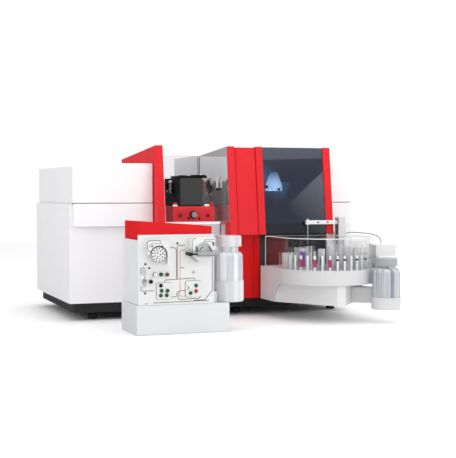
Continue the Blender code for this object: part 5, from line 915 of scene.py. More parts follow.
def build_furnace():
    """Dark bay with the furnace in it, its tapered head lit from inside, behind the smoked window."""
    low, high = corners("furnace_head")
    middle = (low + high) / 2
    head = lit(
        "lit_furnace_head", (0.62, 0.66, 0.70), 0.35, 4.6, (0.80, 0.94, 0.94), (0.03, 0.09, 0.125),
        (middle[0], middle[1], low[2] + 0.016), (0.072, 0.2, 0.074))
    halo = lit(
        "lit_furnace_lining", (0.045, 0.047, 0.052), 0.45, 1.3, (0.20, 0.46, 0.66), (0.035, 0.045, 0.080),
        (middle[0] + 0.006, middle[1], low[2] + 0.040), (0.090, 0.6, 0.095))
    refined("furnace_liner", halo, 35)
    refined("furnace_base", halo, 35)
    rows = []
    for share, rise in ((0.0, 0.0), (0.80, 0.0), (0.83, 0.002), (0.83, 0.006), (0.77, 0.026), (0.49, 0.062),
                        (0.40, 0.0725), (0.30, 0.0765), (0.18, 0.0778), (0.0, 0.0778)):
        ring = rounded_ring((high[0] - low[0]) * max(share, 1e-4), (high[1] - low[1]) * max(share, 1e-4),
            0.006 * share + 1e-5)
        rows.append(np.column_stack([ring + middle[:2] + (0.004, 0.0), np.full(len(ring), low[2] + rise)]))
    piece("furnace_head_cone", np.stack(rows), INSTRUMENT, head, 40, ("furnace_head",))
    refined("furnace_window", SMOKED, 30)
    refined("furnace_electrode", halo, 30)
    strip = pad((middle[0] - 0.0075, low[1] + 0.0064, low[2] + 0.004), 0.034, 0.0050, 0.0012, 0.001, 0.0005, "XZ", 2)
    notch = pad((middle[0] + 0.016, low[1] + 0.0064, low[2] + 0.0065), 0.013, 0.010, 0.0020, 0.001, 0.0005, "XZ", 2)
    # Strip at the foot of the furnace head glows as painted light: the bright lower edge of the glow.
    piece("furnace_glow_edge", strip, INSTRUMENT, GLOW_EDGE_WHITE, 35)
    piece("furnace_notch", notch, INSTRUMENT, DARK_GREY, 35)
    middle = centre("graphite_tube")
    half = (corners("graphite_tube")[1] - corners("graphite_tube")[0])[0] / 2
    rows = [
        (0.0045, -half), (0.0066, -half), (0.0070, -half + 0.0006), (0.0070, half - 0.0006), (0.0066, half),
        (0.0045, half), (0.0045, -half)]
    piece("graphite_tube_turned", lathe(rows, middle, "X", 40), INSTRUMENT, GRAPHITE, 30, ("graphite_tube",))


# Lamp compartment and monochromator

LAMPS = 8
LAMP_CIRCLE = 0.062
LAMP_DROP = 0.030


def build_lamps():
    """Turret discs, glass lamps and their dark bases, all on the turret's body."""
    middle_y, middle_z = centre("lamp_turret")[1:]
    left = place(0.086, 0, 0)[0]
    refined("turret_stand", ALUMINIUM, 30)
    refined("monochromator", BLACK, 30)
    hub = [
        (0, 0), (0.070, 0), (0.070, 0.005), (0.016, 0.005), (0.016, 0.075), (0.070, 0.075), (0.070, 0.080),
        (0.016, 0.080), (0.006, 0.085), (0.006, 0.097), (0, 0.097)]
    piece("turret_discs", lathe(hub, (left, middle_y, middle_z), "X", 72), "lamp_turret", ALUMINIUM, 35,
        ("lamp_turret",))
    glass, bases = [], []
    first = math.atan2(LAMP_DROP, -math.sqrt(LAMP_CIRCLE ** 2 - LAMP_DROP ** 2))
    start = left + 0.084 - 0.144
    for i in range(LAMPS):
        angle = first + i * math.tau / LAMPS
        at = (start, middle_y + LAMP_CIRCLE * math.cos(angle), middle_z + LAMP_CIRCLE * math.sin(angle))
        bases.append(lathe([(0, 0), (0.0195, 0), (0.0205, 0.001), (0.0205, 0.024), (0.0195, 0.026), (0, 0.026)], at,
            "X", 28))
        glass.append(lathe([(0, 0.0262), (0.0188, 0.0262), (0.019, 0.030), (0.019, 0.141), (0.018, 0.1438), (0, 0.144)],
            at, "X", 28))
    piece("lamp_bases", bases, "lamp_turret", BLACK, 35)
    piece("lamp_glass", glass, "lamp_turret", FROSTED, 35)


# Autosampler

MAGENTA_VIALS = (21, 23, 25)
BANDED_VIALS = (26, 27, 29, 31, 33)
DARK_INNER = (17, 18, 20, 21, 22, 24)
OUTER_VIALS, INNER_VIALS, CUPS = 36, 32, 8
OUTER_REACH, CUP_REACH = 0.160, 0.108
NEEDLE_FROM_AXIS = (-0.007, 0.147)
NEEDLE_X = 0.9225
PURPLE_CUP, CAPPED_CUP = 4, 3


def build_sampler():
    refine_all((
        ("sampler_housing", MOULDED_WHITE, 28), ("sampler_base", HULL_WHITE, 28), ("sampler_bracket", BLACK, 30),
        ("sampler_cover", ACRYLIC, 28), ("sampler_column", HULL_WHITE, 30), ("sampler_arm", PAINT_WHITE, 30),
        ("rinse_pump", PLATE_WHITE, 30)))
    build_cover_edge_highlights()
    build_tray()
    build_arm_details()


OUTLINE_BAND = 2e-4


def outline_at(node_name, height):
    """Points of a CAD node's outer wall at one height, in order round its middle."""
    mesh = NODES[node_name].data
    points = np.empty(len(mesh.vertices) * 3)
    mesh.vertices.foreach_get("co", points)
    points = points.reshape(-1, 3)
    level = points[np.abs(points[:, 2] - height) < OUTLINE_BAND][:, :2]
    low, high = corners(node_name)
    middle = (low[:2] + high[:2]) / 2
    turn = np.arctan2(level[:, 1] - middle[1], level[:, 0] - middle[0])
    level = level[np.argsort(turn)]
    apart = np.linalg.norm(level - np.roll(level, 1, axis=0), axis=1) > OUTLINE_BAND
    return level[apart]


def build_cover_edge_highlights():
    """Bright cut edges of the clear cover, drawn as beads that are partly the acrylic's edge and partly a painted
    highlight: a bead round its top, a thinner one round its foot, and one up its left back corner."""
    low, high = corners("sampler_cover")
    ring = outline_at("sampler_cover", high[2] - 0.0015)
    ring = np.concatenate([ring, ring[:1]])
    beads = []
    for z, r in ((high[2] - 0.0016, 0.0016), (low[2] + 0.0014, 0.0008)):
        beads.append(tube(np.column_stack([ring, np.full(len(ring), z)]), r, 8))
    corner = ring[np.argmin(ring[:, 0] - ring[:, 1] * 0.35)]
    beads.append(tube(np.array([
        (*corner, low[2] + 0.002), (*corner, low[2] + 0.02), (*corner, high[2] - 0.02), (*corner, high[2] - 0.002)]),
        0.0014, 8))
    piece("cover_edge_highlights", beads, BODY_OF["sampler_cover"], CUT_EDGE_HIGHLIGHT, 60)


def build_tray():
    """Turntable disc, two rings of vials and one of taller cups, some of them filled or capped. The
    inner ring passes under the needle and is turned so that one of its vials stands there."""
    middle = face_middle("sample_tray", 2, 0)
    base, v, c = 0.0058, 0.247 - middle[2], 0.271 - middle[2]
    across, deep = NEEDLE_FROM_AXIS
    share = (math.atan2(deep, across) / math.tau * INNER_VIALS) % 1

    def turned(profile, reach, count, sides, shift=share):
        at = middle + np.array([reach, 0, 0])
        return ring_of(lathe(profile, at, "Z", sides), middle, count, shift * math.tau / count)

    def outer(profile):
        return turned(profile, OUTER_REACH, OUTER_VIALS, 10, 0.0)

    def inner(profile):
        return turned(profile, math.hypot(across, deep), INNER_VIALS, 10)

    bore = 0.0106
    disc = [
        (bore, 0), (0.1665, 0), (0.1675, 0.001), (0.1675, 0.005), (0.1668, 0.006), (0.120, 0.006), (0.118, 0.0052),
        (0.034, 0.0052), (0.030, 0.0062), (0.029, 0.022), (0.026, 0.027), (0.018, 0.0295), (0, 0.030), (0, 0.018),
        (bore, 0.018), (bore, 0)]
    piece("tray_disc", lathe(disc, middle, "Z", 120), "sample_tray", MOULDED_WHITE, 35, ("sample_tray",))
    wall = [
        (0, base), (0.0052, base), (0.0057, base + 0.003), (0.0057, v - 0.010), (0.0060, v - 0.0095),
        (0.0060, v - 0.0008), (0.0057, v), (0.0048, v), (0.0046, v - 0.002), (0.0044, v - 0.060),
        (0.0030, v - 0.075), (0, v - 0.078)]
    sample = [(0, v - 0.042), (0.0055, v - 0.042), (0.0061, v - 0.040), (0.0061, v - 0.013), (0, v - 0.012)]
    short = [(0, v - 0.027), (0.0063, v - 0.027), (0.0063, v - 0.009), (0, v - 0.009)]
    plug = [
        (0, v - 0.0175), (0.0055, v - 0.0175), (0.0063, v - 0.0165), (0.0063, v - 0.0115), (0.0055, v - 0.0105),
        (0, v - 0.0105)]
    cup = [
        (0, base), (0.0115, base), (0.0122, base + 0.004), (0.0122, c - 0.012), (0.0125, c - 0.0115),
        (0.0125, c - 0.001), (0.0120, c), (0.0107, c), (0.0105, c - 0.002), (0.0103, c - 0.070), (0, c - 0.074)]
    fill = [(0, c - 0.0735), (0.0100, c - 0.070), (0.0102, c - 0.030), (0, c - 0.030)]
    full = [(0, c - 0.0735), (0.0123, c - 0.070), (0.0124, c - 0.0125), (0, c - 0.0125)]
    cap = [
        (0, c + 0.0002), (0.0126, c + 0.0002), (0.0130, c + 0.001), (0.0130, c + 0.0050), (0.0110, c + 0.0085),
        (0.006, c + 0.0102), (0, c + 0.0106)]
    bands, drops, fills = outer(plug), outer(sample), turned(fill, CUP_REACH, CUPS, 20)
    for name, grids, finish in (
            ("vials", outer(wall) + inner(wall), VIAL),
            ("samples_magenta", [drops[i] for i in MAGENTA_VIALS], MAGENTA),
            ("samples_dark", [inner(short)[i] for i in DARK_INNER], INK_BLACK),
            ("vial_bands", [bands[i] for i in BANDED_VIALS], INK_BLACK),
            ("reagent_cups", turned(cup, CUP_REACH, CUPS, 24), CUP_CLEAR),
            ("reagent_purple_fill", [turned(full, CUP_REACH, CUPS, 20)[PURPLE_CUP]], PURPLE),
            ("reagent_clear_fill", [fills[i] for i in range(CUPS) if i != PURPLE_CUP], WATER),
            ("reagent_caps", [turned(cap, CUP_REACH, CUPS, 24)[CAPPED_CUP]], BLACK)):
        piece(name, grids, "sample_tray", finish, 40)


def build_arm_details():
    """Steel needle, its clamp nut, a pink tip and dark screws on the arm; rails in the column's
    slot; white wash block behind the cover."""
    low, high = corners("sampler_arm")
    needle_x = place(NEEDLE_X, 0, 0)[0]
    y = (low[1] + high[1]) / 2
    arm_top = high[2] - 0.006
    arm_low = arm_top - 0.0155
    tip = low[2]
    needle = [
        (0, tip), (0.0010, tip), (0.0017, tip + 0.004), (0.0017, arm_low - 0.0045), (0.0030, arm_low - 0.004),
        (0.0030, arm_low - 0.0002), (0, arm_low - 0.0002)]
    piece("needle_steel", lathe(needle, (needle_x, y, 0), "Z", 16), "sampler_arm", SATIN_STEEL, 40)
    nut = [
        (0, arm_top + 0.0002), (0.0036, arm_top + 0.0002), (0.0036, arm_top + 0.003), (0.0026, arm_top + 0.0038),
        (0.0026, arm_top + 0.006), (0, arm_top + 0.006)]
    piece("needle_nut", lathe(nut, (needle_x, y, 0), "Z", 16), "sampler_arm", PAINT_WHITE, 40)
    mid_z = (arm_top + arm_low) / 2
    end = [(0, 0.0002), (0.0060, 0.0002), (0.0060, 0.0030), (0.0042, 0.0048), (0, 0.0052)]
    tip_cap = lathe([(r, -d) for r, d in end], (low[0] + 0.0052, y, mid_z), "X", 20)
    piece("arm_tip_cap", tip_cap, "sampler_arm", PINK, 40)
    screws = [
        lathe([(0, -0.0006), (0.0034, -0.0006), (0.0036, -0.0002), (0.0036, 0.004), (0, 0.004)],
            (needle_x + 0.042 * (i + 1), y - 0.0050, mid_z), "Y", 16)
        for i in range(2)]
    piece("arm_screws", screws, "sampler_arm", BLACK, 40)
    column_low, column_high = corners("sampler_column")
    left, mid_y = column_low[0], (column_low[1] + column_high[1]) / 2
    slot_top = column_high[2] - 0.008
    slot_low = slot_top - 0.100
    rails = []
    for side in (-1, 1):
        rails.append(pad(
            (left + 0.0075, mid_y + side * 0.0053, (slot_top + slot_low) / 2), 0.0011, slot_top - slot_low - 0.001,
            0.0076, 0.0004, 0.0003, "-YZ", 1))
    piece("slot_rails", rails, "sampler_column", BLACK, 40)
    trims = [pad(
        (left, mid_y + side * 0.0105, (slot_top + slot_low) / 2), 0.0050, slot_top - slot_low + 0.006, 0.0006, 0.001,
        0.0003, "-YZ", 2) for side in (-1, 1)]
    piece("slot_trims", trims, "sampler_column", BLACK, 40)
    block_low, block_high = place(1.028, -0.082, 0.3117), place(1.049, -0.060, 0.3245)
    block = (block_low + block_high) / 2
    piece(
        "wash_block", pad((block[0], block[1], block_low[2]), 0.021, 0.022, 0.0128, 0.003, 0.0012, "XY"), INSTRUMENT,
        PAINT_WHITE, 35)


# Bottles

def bottle_shell(middle, radius, body, neck, neck_radius, wall):
    """Open bottle: up the outside by the shoulder's curve to the neck, then down the inside."""
    t = np.linspace(0, np.pi / 2, 8)
    shoulder = 0.016
    outside = [(0, 0.0012), (radius * 0.5, 0.0010), (radius * 0.82, 0), (radius - 0.004, 0), (radius - 0.001, 0.0012),
        (radius, 0.004)]
    outside += [(radius - shoulder + shoulder * math.cos(a), body - shoulder + shoulder * math.sin(a)) for a in t]
    outside += [(neck_radius + 0.001, body + 0.0015), (neck_radius, body + 0.003), (neck_radius, body + neck)]
    inside = []
    for r, h in reversed(outside):
        drop = wall if r < neck_radius + 0.004 and h > body * 0.9 else 0
        inside.append((r - wall, max(h - drop, wall)))
    inside[0] = (neck_radius - wall, body + neck)
    inside = [(r, h) for r, h in inside if r > 0.004]
    return lathe(outside + inside + [(0, wall + 0.0012)], middle, "Z", 72)


def build_bottle(prefix, shell_finish, body_length, neck, cap_finish, ribs, depth, fill_share):
    """Shell, liquid up to a share of the body's length, and a cap with ribs of a depth."""
    low, high = corners(prefix + "_bottle")
    middle = face_middle(prefix + "_bottle", 2, 0)
    radius = (high[0] - low[0]) / 2
    body = prefix + "_bottle"
    piece(body + "_shell", bottle_shell(middle, radius, body_length, neck, 0.034, 0.0018), body, shell_finish, 40,
        (body,))
    level = body_length * fill_share
    inner = radius - 0.0021
    piece(
        body + "_liquid",
        lathe([(0, 0.0034), (inner - 0.004, 0.0034), (inner, 0.007), (inner, level), (inner - 0.001, level + 0.0004),
            (0, level)], middle, "Z", 64),
        body, WATER, 40)
    cap_low, cap_high = corners(prefix + "_bottle_cap")
    r, h = (cap_high[0] - cap_low[0]) / 2, cap_high[2] - cap_low[2]
    top = (middle[0], middle[1], cap_low[2])
    rows = [
        (0, 0.0012, 0), (r - 0.004, 0.0012, 0), (r - 0.0035, 0, 0), (r - 0.0006, 0, 0), (r, 0.0012, 1),
        (r, h * 0.10, 1), (r, h * 0.80, 1), (r - 0.0006, h * 0.85, 0.8),
        (r - 0.0012, h * 0.90, 0), (r - 0.0016, h * 0.96, 0), (r - 0.0036, h, 0), (r * 0.55, h - 0.0006, 0),
        (0, h - 0.0006, 0)]
    piece(body + "_cap_ribs", ribbed(rows, top, ribs, depth), body + "_cap", cap_finish, 60, (body + "_cap",))


def build_bottles():
    build_bottle("rinse", BOTTLE_CLEAR, 0.147, 0.008, CAP_GREY, 44, 0.0011, 0.86)
    build_bottle("module", BOTTLE_PALE, 0.169, 0.018, CAP_CLEAR, 30, 0.0016, 0.80)
    refined("rinse_bottle_holder", MOULDED_WHITE, 28)
    refined("module_bottle_cup", FROSTED, 28)


# Hydride module

PLATE_FRONT = -0.4567


def on_plate(x_share, z_share, proud=0.0):
    """Point on the module's front plate by shares of its width and height."""
    low, high = corners("module_body")
    plate_low, plate_high = corners("module_plate")
    return np.array([
        low[0] + (high[0] - low[0]) * x_share, place(0, PLATE_FRONT, 0)[1] - proud,
        plate_low[2] + (plate_high[2] - plate_low[2]) * z_share])


def plate_line(line, proud, radius, flat=1.0, bend=None):
    """Tube along points given by shares of the plate; bend rounds its corners."""
    points = np.array([on_plate(x, z, proud) for x, z in line])
    return tube(round_corners(points, bend) if bend else points, radius, 6, flat)


def plate_bar(first, last, proud, radius, sides=6, flat=1.0):
    """Straight tube between two points given by shares of the plate."""
    return tube(np.linspace(on_plate(*first, proud), on_plate(*last, proud), 4), radius, sides, flat)


FLOW_LINES_GREY = [
    [(0.412, 0.815), (0.475, 0.812), (0.497, 0.79), (0.497, 0.372)],
    [(0.612, 0.845), (0.520, 0.845), (0.510, 0.83), (0.510, 0.372)],
    [(0.343, 0.335), (0.345, 0.355), (0.735, 0.372), (0.737, 0.345)],
    [(0.400, 0.108), (0.495, 0.112), (0.503, 0.13), (0.505, 0.17), (0.54, 0.195), (0.625, 0.195)],
    [(0.520, 0.17), (0.520, 0.085), (0.535, 0.072), (0.80, 0.078), (0.818, 0.095), (0.818, 0.16)],
    [(0.978, 0.66), (0.978, 0.19), (0.880, 0.055), (0.73, 0.050)],
    [(0.200, 0.050), (0.200, 0.034), (0.930, 0.044)],
    [(0.065, 0.54), (0.033, 0.535), (0.033, 0.45)],
    [(0.033, 0.28), (0.033, 0.215), (0.048, 0.208), (0.205, 0.208)],
    [(0.545, 0.525), (0.600, 0.522)],
]
FLOW_LINES_RED = [
    [(0.612, 0.775), (0.545, 0.770), (0.545, 0.115), (0.728, 0.118), (0.735, 0.140)],
]
PORTS = [
    (0.213, 0.438, "white"), (0.295, 0.436, "green"), (0.374, 0.434, "red_green"), (0.161, 0.338, "black"),
    (0.288, 0.280, "black"), (0.298, 0.206, "green"), (0.376, 0.204, "green"), (0.288, 0.139, "green"),
    (0.366, 0.139, "green"), (0.755, 0.264, "green"), (0.755, 0.185, "red"), (0.681, 0.159, "green"),
]
PLATE_SCREWS = [(0.357, 0.885), (0.511, 0.875), (0.140, 0.530), (0.092, 0.588), (0.087, 0.175)]
CLAMP_SCREWS = [(0.158, 0.8405), (0.288, 0.840)]
CLAMP_LINES = [
    [(0.2686, 0.876), (0.274, 0.900), (0.2686, 0.921), (0.120, 0.9216), (0.097, 0.901), (0.097, 0.793), (0.117, 0.770),
     (0.154, 0.769)],
    [(0.2686, 0.876), (0.160, 0.877), (0.131, 0.865), (0.126, 0.823)],
]
PUMP_LINES = [
    [(0.829, 0.895), (0.829, 0.923), (0.972, 0.923), (0.983, 0.905), (0.983, 0.842), (0.965, 0.825), (0.947, 0.842),
     (0.947, 0.882), (0.935, 0.895), (0.829, 0.895)],
    [(0.672, 0.70), (0.672, 0.905), (0.692, 0.945), (0.725, 0.950)],
]
PUMP_BARS = [((0.722, 0.837), (0.722, 0.745)), ((0.741, 0.820), (0.741, 0.745)), ((0.766, 0.770), (0.815, 0.828)),
             ((0.893, 0.822), (0.936, 0.755))]
ROLLERS = 10
PADS = (((0.235, 0.083), (0.422, 0.317)), ((0.617, 0.103), (0.823, 0.333)))


def build_flow_lines():
    """Printed flow lines, the outlines of the pads, and the separator of clear glass on the left."""
    for name, lines, ink in (("flow_lines_grey", FLOW_LINES_GREY, INK_GREY),
        ("flow_lines_red", FLOW_LINES_RED, INK_RED)):
        piece(name, [plate_line(line, 0.0001, 0.0012, 0.35, 0.004) for line in lines], INSTRUMENT, ink, 60)
    outlines = []
    for (x0, z0), (x1, z1) in PADS:
        low, high = on_plate(x0, z0, 0.0005), on_plate(x1, z1, 0.0005)
        ring = rounded_ring(high[0] - low[0] + 0.0004, high[2] - low[2] + 0.0004, 0.008)
        ring = np.concatenate([ring, ring[:2]])
        middle = (low + high) / 2
        outlines.append(tube(np.stack([ring[:, 0] + middle[0], np.full(len(ring), middle[1]), ring[:, 1] + middle[2]],
            1), 0.0007, 6))
    outlines.append(plate_line([(0.640, 0.262), (0.660, 0.235), (0.640, 0.205)], 0.0042, 0.0014, 0.4))
    for a, b, c, d in ((0.085, 0.170, 0.085, 0.158), (0.075, 0.026, 0.125, 0.026)):
        outlines.append(plate_line([(a, b), ((a + c) / 2, (b + d) / 2), (c, d)], 0.0001, 0.0009, 0.35))
    piece("plate_outlines", outlines, INSTRUMENT, INK_BLACK, 60)
    foot = on_plate(0.074, 0.255, 0.0060)
    glass = [(0, 0), (0.0026, 0.0004), (0.0060, 0.0140), (0.0072, 0.0200), (0.0072, 0.0300), (0.0058, 0.0350),
             (0.0042, 0.0385), (0.0042, 0.0655), (0.0036, 0.0665), (0, 0.0668)]
    piece("separator", lathe(glass, foot, "Z", 24), INSTRUMENT, GLASS, 40)
    clasp = pad(on_plate(0.074, 0.395), 0.019, 0.011, 0.0095, 0.003, 0.0012, "XZ", 3)
    piece("separator_clasp", clasp, INSTRUMENT, CLIP_WHITE, 35)


def build_ports():
    """Screwed ports: dark green, red and black caps with a darker rim, and the plate's screws."""
    finishes = {"white": CLIP_WHITE, "green": GREEN, "red": PORT_RED, "red_green": GREEN, "black": BLACK}
    by_finish = {}
    rims, ring = [], []
    for x, z, kind in PORTS:
        middle = on_plate(x, z)
        cap = lathe(
            [(0, -0.0103), (0.0030, -0.0103), (0.0041, -0.0100), (0.0052, -0.0086), (0.0056, -0.0078),
                (0.0056, -0.0040),
             (0, -0.0040)], middle, "Y", 24)
        by_finish.setdefault(kind, []).append(cap)
        rim = lathe(
            [(0.0057, -0.0001), (0.0066, -0.0001), (0.0066, -0.0052), (0.0062, -0.0058), (0.0057, -0.0058),
             (0.0057, -0.0001)], middle, "Y", 28)
        (ring if kind == "red_green" else rims).append(rim)
    for kind, caps in by_finish.items():
        piece("port_caps_" + kind, caps, INSTRUMENT, finishes[kind], 40)
    piece("port_rims", rims, INSTRUMENT, BLACK, 40)
    piece("port_ring_red", ring, INSTRUMENT, PORT_RED, 40)
    heads = [screw_head(on_plate(x, z), 0.0036, 0.0018) for x, z in PLATE_SCREWS]
    piece("plate_screws", heads, INSTRUMENT, BLACK, 30)
    piece("plate_grey_screw", screw_head(on_plate(0.726, 0.460), 0.0046, 0.0020), INSTRUMENT, SATIN_STEEL, 30)


def build_rotor():
    """Rotor with ten rollers between cheeks, a dark core and a face with rings of dark holes; the
    clamp over it with its slot drawn in dark and two screws."""
    low, high = corners("pump_rotor")
    middle = face_middle("pump_rotor", 1, 1)
    r, depth = (high[0] - low[0]) / 2, high[1] - low[1]
    cheeks = [
        (0.0056, 0), (r - 0.0005, 0), (r, -0.0005), (r, -0.0025), (r - 0.0005, -0.003), (r * 0.62, -0.003),
        (r * 0.62, -depth + 0.003), (r - 0.0005, -depth + 0.003), (r, -depth + 0.0025), (r, -depth + 0.0007),
        (r - 0.0008, -depth), (r * 0.22, -depth), (r * 0.2, -depth + 0.0006), (0, -depth + 0.0006), (0, -0.0105),
        (0.0056, -0.0105), (0.0056, 0)]
    piece("rotor_cheeks", lathe(cheeks, middle, "Y", 64), "pump_rotor", PLATE_WHITE, 35, ("pump_rotor",))
    core = [(r * 0.63, -0.0032), (r * 0.90, -0.0032), (r * 0.90, -depth + 0.0032), (r * 0.63, -depth + 0.0032),
            (r * 0.63, -0.0032)]
    rim = [(r - 0.0009, -depth + 0.0004), (r, -depth + 0.0004), (r - 0.0003, -depth - 0.0002),
           (r - 0.0011, -depth - 0.0002), (r - 0.0009, -depth + 0.0004)]
    rollers, dots = [], [lathe(core, middle, "Y", 48), lathe(rim, middle, "Y", 64)]
    for i in range(ROLLERS):
        a = math.tau * i / ROLLERS
        at = (middle[0] + (r - 0.0041) * math.cos(a), middle[1], middle[2] + (r - 0.0041) * math.sin(a))
        rollers.append(lathe(
            [(0, -0.0032), (0.0034, -0.0032), (0.0036, -0.0036), (0.0036, -depth + 0.0036), (0.0034, -depth + 0.0032),
             (0, -depth + 0.0032)], at, "Y", 16))
    for share, count, turn in ((0.80, 13, 0.0), (0.52, 8, 0.3), (0.24, 3, 0.1)):
        for a in turn + np.arange(count) * math.tau / count:
            at = (middle[0] + r * share * math.cos(a), middle[1], middle[2] + r * share * math.sin(a))
            dots.append(lathe(
                [(0, -depth + 0.0001), (0.0025, -depth + 0.0001), (0.0023, -depth - 0.0002), (0, -depth - 0.0002)],
                at, "Y", 12))
    piece("rotor_rollers", rollers, "pump_rotor", SATIN_STEEL, 35)
    piece("rotor_holes", dots, "pump_rotor", BLACK, 35)
    face = on_plate(0, 0)[1] - corners("pump_clamp")[0][1]
    lines = [plate_line(line, face, 0.0008, 0.5, 0.003) for line in CLAMP_LINES]
    piece("clamp_slot_lines", lines, "pump_clamp", INK_BLACK, 60)
    heads = [screw_head(on_plate(x, z, face - 0.0002), 0.0030, 0.0014) for x, z in CLAMP_SCREWS]
    piece("clamp_screws", heads, "pump_clamp", BLACK, 30)


def build_second_pump():
    """Slot, mark and bars on the second pump's face, and its lever: a black joint, a thin link and a grey bar in two
    tones, lighter on top and darker below as painted shade."""
    refined("second_pump", PLATE_WHITE, 30)
    face = on_plate(0, 0)[1] - corners("second_pump")[0][1]
    marks = [plate_line(line, face, 0.0008, 0.5, 0.003) for line in PUMP_LINES]
    marks += [plate_bar(first, last, face + 0.0006, 0.0017, 6, 0.7) for first, last in PUMP_BARS]
    marks.append(plate_bar((0.952, 0.885), (0.952, 0.850), face, 0.0034, 10, 0.4))
    piece("second_pump_marks", marks, INSTRUMENT, INK_BLACK, 60)
    low, high = corners("clamp_lever")
    height, depth = high[2] - low[2], high[1] - low[1]
    pivot = np.array([low[0] + 0.0090, (low[1] + high[1]) / 2, (low[2] + high[2]) / 2])
    front = corners("second_pump")[0][1]
    joint = [(0, depth / 2 - 0.0001), (0.0060, depth / 2 - 0.0001), (0.0062, depth / 2 - 0.0006),
        (0.0062, -depth / 2 + 0.0008),
             (0.0055, -depth / 2 + 0.0001), (0, -depth / 2 + 0.0001)]
    start = np.array([pivot[0], front - 0.0056, pivot[2]])
    link = np.linspace(start, start + np.array([0.034, 0, -0.0015]), 4)
    piece("lever_joint", [lathe(joint, pivot, "Y", 28), tube(link, 0.0030, 8, 0.8)], "clamp_lever", BLACK, 35,
        ("clamp_lever",))
    bar_low, bar_high = pivot[0] + 0.026, high[0] - 0.0003
    back, reach = front - 0.0024, front - 0.0024 - low[1]
    bars = [pad(
        ((bar_low + bar_high) / 2, back, pivot[2] + (0.0018 if upper else -0.0058)), bar_high - bar_low,
        height * (0.60 if upper else 0.30), reach - (0.0003 if upper else 0.0016), 0.0022, 0.0008) for upper in (True,
        False)]
    # The grey bar is split in two tones: lighter on top, darker below as painted shade.
    piece("lever_bar", bars[0], "clamp_lever", CAP_GREY, 35)
    piece("lever_bar_painted_shade", bars[1], "clamp_lever", FITTING_GREY, 35)
    strokes = [plate_bar(first, last, 0.003, 0.0011) for first, last in (
        ((0.664, 0.690), (0.770, 0.605)), ((0.684, 0.705), (0.790, 0.640)))]
    piece("pump_hoses", strokes, INSTRUMENT, FITTING_GREY, 60)


def build_module():
    refine_all((
        ("module_base module_body", MODULE_WHITE, 30), ("module_cap", CAP_RED, 30),
        ("module_plate pump_clamp", PLATE_WHITE, 30)))
    build_second_pump()
    build_flow_lines()
    build_ports()
    build_rotor()


# Floor and light

FLOOR_REACH, FLOOR_DEPTH, FLOOR_GAP = 6.0, 0.02, 0.0005
LEFT_LIGHT = 0.66
RIGHT_LIGHT = 1.29
DARK_CARDS = (
    ((-0.352, 0.936, 0.0), 0.72, 0.90, 0.38), ((0.42, -0.897, 0.135), 0.9925, 0.9950, 0.62),
    ((-0.335, -0.942, 0.0), 0.9900, 0.9985, 0.55))


def build_stage():
    """Wide thin disc as the floor, a little below the feet, and the room's light."""
    rows = [(0, 0), (FLOOR_REACH, 0), (FLOOR_REACH, -FLOOR_DEPTH), (0, -FLOOR_DEPTH)]
    mesh = grid_mesh("floor", lathe(rows, (0, 0, -FLOOR_GAP), "Z", 96))
    floor = bpy.data.objects.new("floor", mesh)
    bpy.context.scene.collection.objects.link(floor)
    mesh.materials.append(floor_finish())
    world = bpy.data.worlds.new("studio")
    bpy.context.scene.world = world
    world.use_nodes = True
    light_room(world.node_tree)


def light_room(tree):
    """White backdrop for the camera; as a light it fades from the right to the left, with a wide
    dark card behind on the left and two narrow ones in front."""
    background = tree.nodes["Background"]
    way = node(tree, "ShaderNodeTexCoord").outputs["Generated"]
    across = node(tree, "ShaderNodeSeparateXYZ", {0: way}).outputs["X"]
    light = ranged(tree, across, -1.0, 0.6, LEFT_LIGHT, RIGHT_LIGHT)
    for towards, start, full, left in DARK_CARDS:
        facing = node(tree, "ShaderNodeVectorMath", {0: way, 1: towards}, operation="DOT_PRODUCT")
        card = ranged(tree, facing.outputs["Value"], start, full, 1.0, left)
        light = node(tree, "ShaderNodeMath", {0: light, 1: card}, operation="MULTIPLY").outputs[0]
    seen = node(tree, "ShaderNodeLightPath").outputs["Is Camera Ray"]
    strength = node(tree, "ShaderNodeMix", {"Factor": seen, "A": light, "B": 1.0})
    tree.links.new(strength.outputs["Result"], background.inputs["Strength"])
    background.inputs["Color"].default_value = (1.0, 1.0, 1.0, 1)


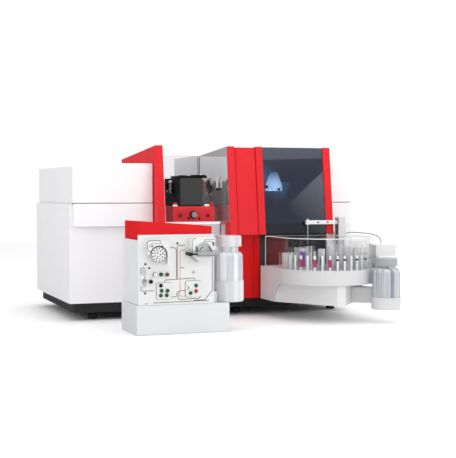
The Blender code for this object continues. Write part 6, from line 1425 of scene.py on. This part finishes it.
def floor_finish():
    """Pale matt floor that shows only faintly in glossy surfaces."""
    finish = skin("floor_white", (0.95, 0.95, 0.95), (0.945, 0.945, 0.945), (0.6, 0.7), (200.0, 0.0))
    tree = finish.node_tree
    colour = tree.nodes["Principled BSDF"].inputs["Base Color"]
    pale = colour.links[0].from_socket
    glossy = node(tree, "ShaderNodeLightPath").outputs["Is Glossy Ray"]
    tree.links.new(colour_mix(tree, glossy, pale, (0.16, 0.16, 0.16, 1)), colour)
    return finish


def add_softbox(name, where, aim, size, power, roll=0.0, feather=None):
    """Square-cornered area light that looks at a point; feather fades it in along its width."""
    light = bpy.data.lights.new(name, "AREA")
    light.shape = "RECTANGLE"
    light.size, light.size_y = size
    light.energy = power
    lamp = bpy.data.objects.new(name, light)
    lamp.location = where
    turn = (Vector(aim) - Vector(where)).to_track_quat("-Z", "Y")
    lamp.rotation_euler = (turn @ Quaternion((0.0, 0.0, 1.0), math.radians(roll))).to_euler()
    bpy.context.scene.collection.objects.link(lamp)
    if feather:
        light.use_nodes = True
        tree = light.node_tree
        along = node(
            tree, "ShaderNodeSeparateXYZ", {0: node(tree, "ShaderNodeNewGeometry").outputs["Parametric"]}).outputs["X"]
        tree.links.new(ranged(tree, along, *feather), tree.nodes["Emission"].inputs["Strength"])


def build_lights():
    add_softbox("right_softbox", (1.88, -2.866, 0.85), (0.29, -0.1, 0.5), (1.22, 0.82), 7.7, 37.0, (0.36, 0.60))
    add_softbox("high_softbox", (1.26, -2.34, 1.70), (0.29, -0.1, 0.6), (1.7, 0.94), 7.2, -4.0)
    add_softbox("left_softbox", (-4.2, -1.5, 1.6), (0.0, 0.0, 0.3), (1.8, 1.8), 33.0)
    add_softbox("top_softbox", (0.0, -0.4, 2.6), (0.0, 0.0, 0.3), (2.6, 2.0), 20.0)
    bpy.context.scene.view_settings.view_transform = "Standard"


set_camera()
build_hose()
build_cabinets()
build_flame_bay()
build_furnace()
build_lamps()
build_sampler()
build_bottles()
build_module()
build_stage()
build_lights()
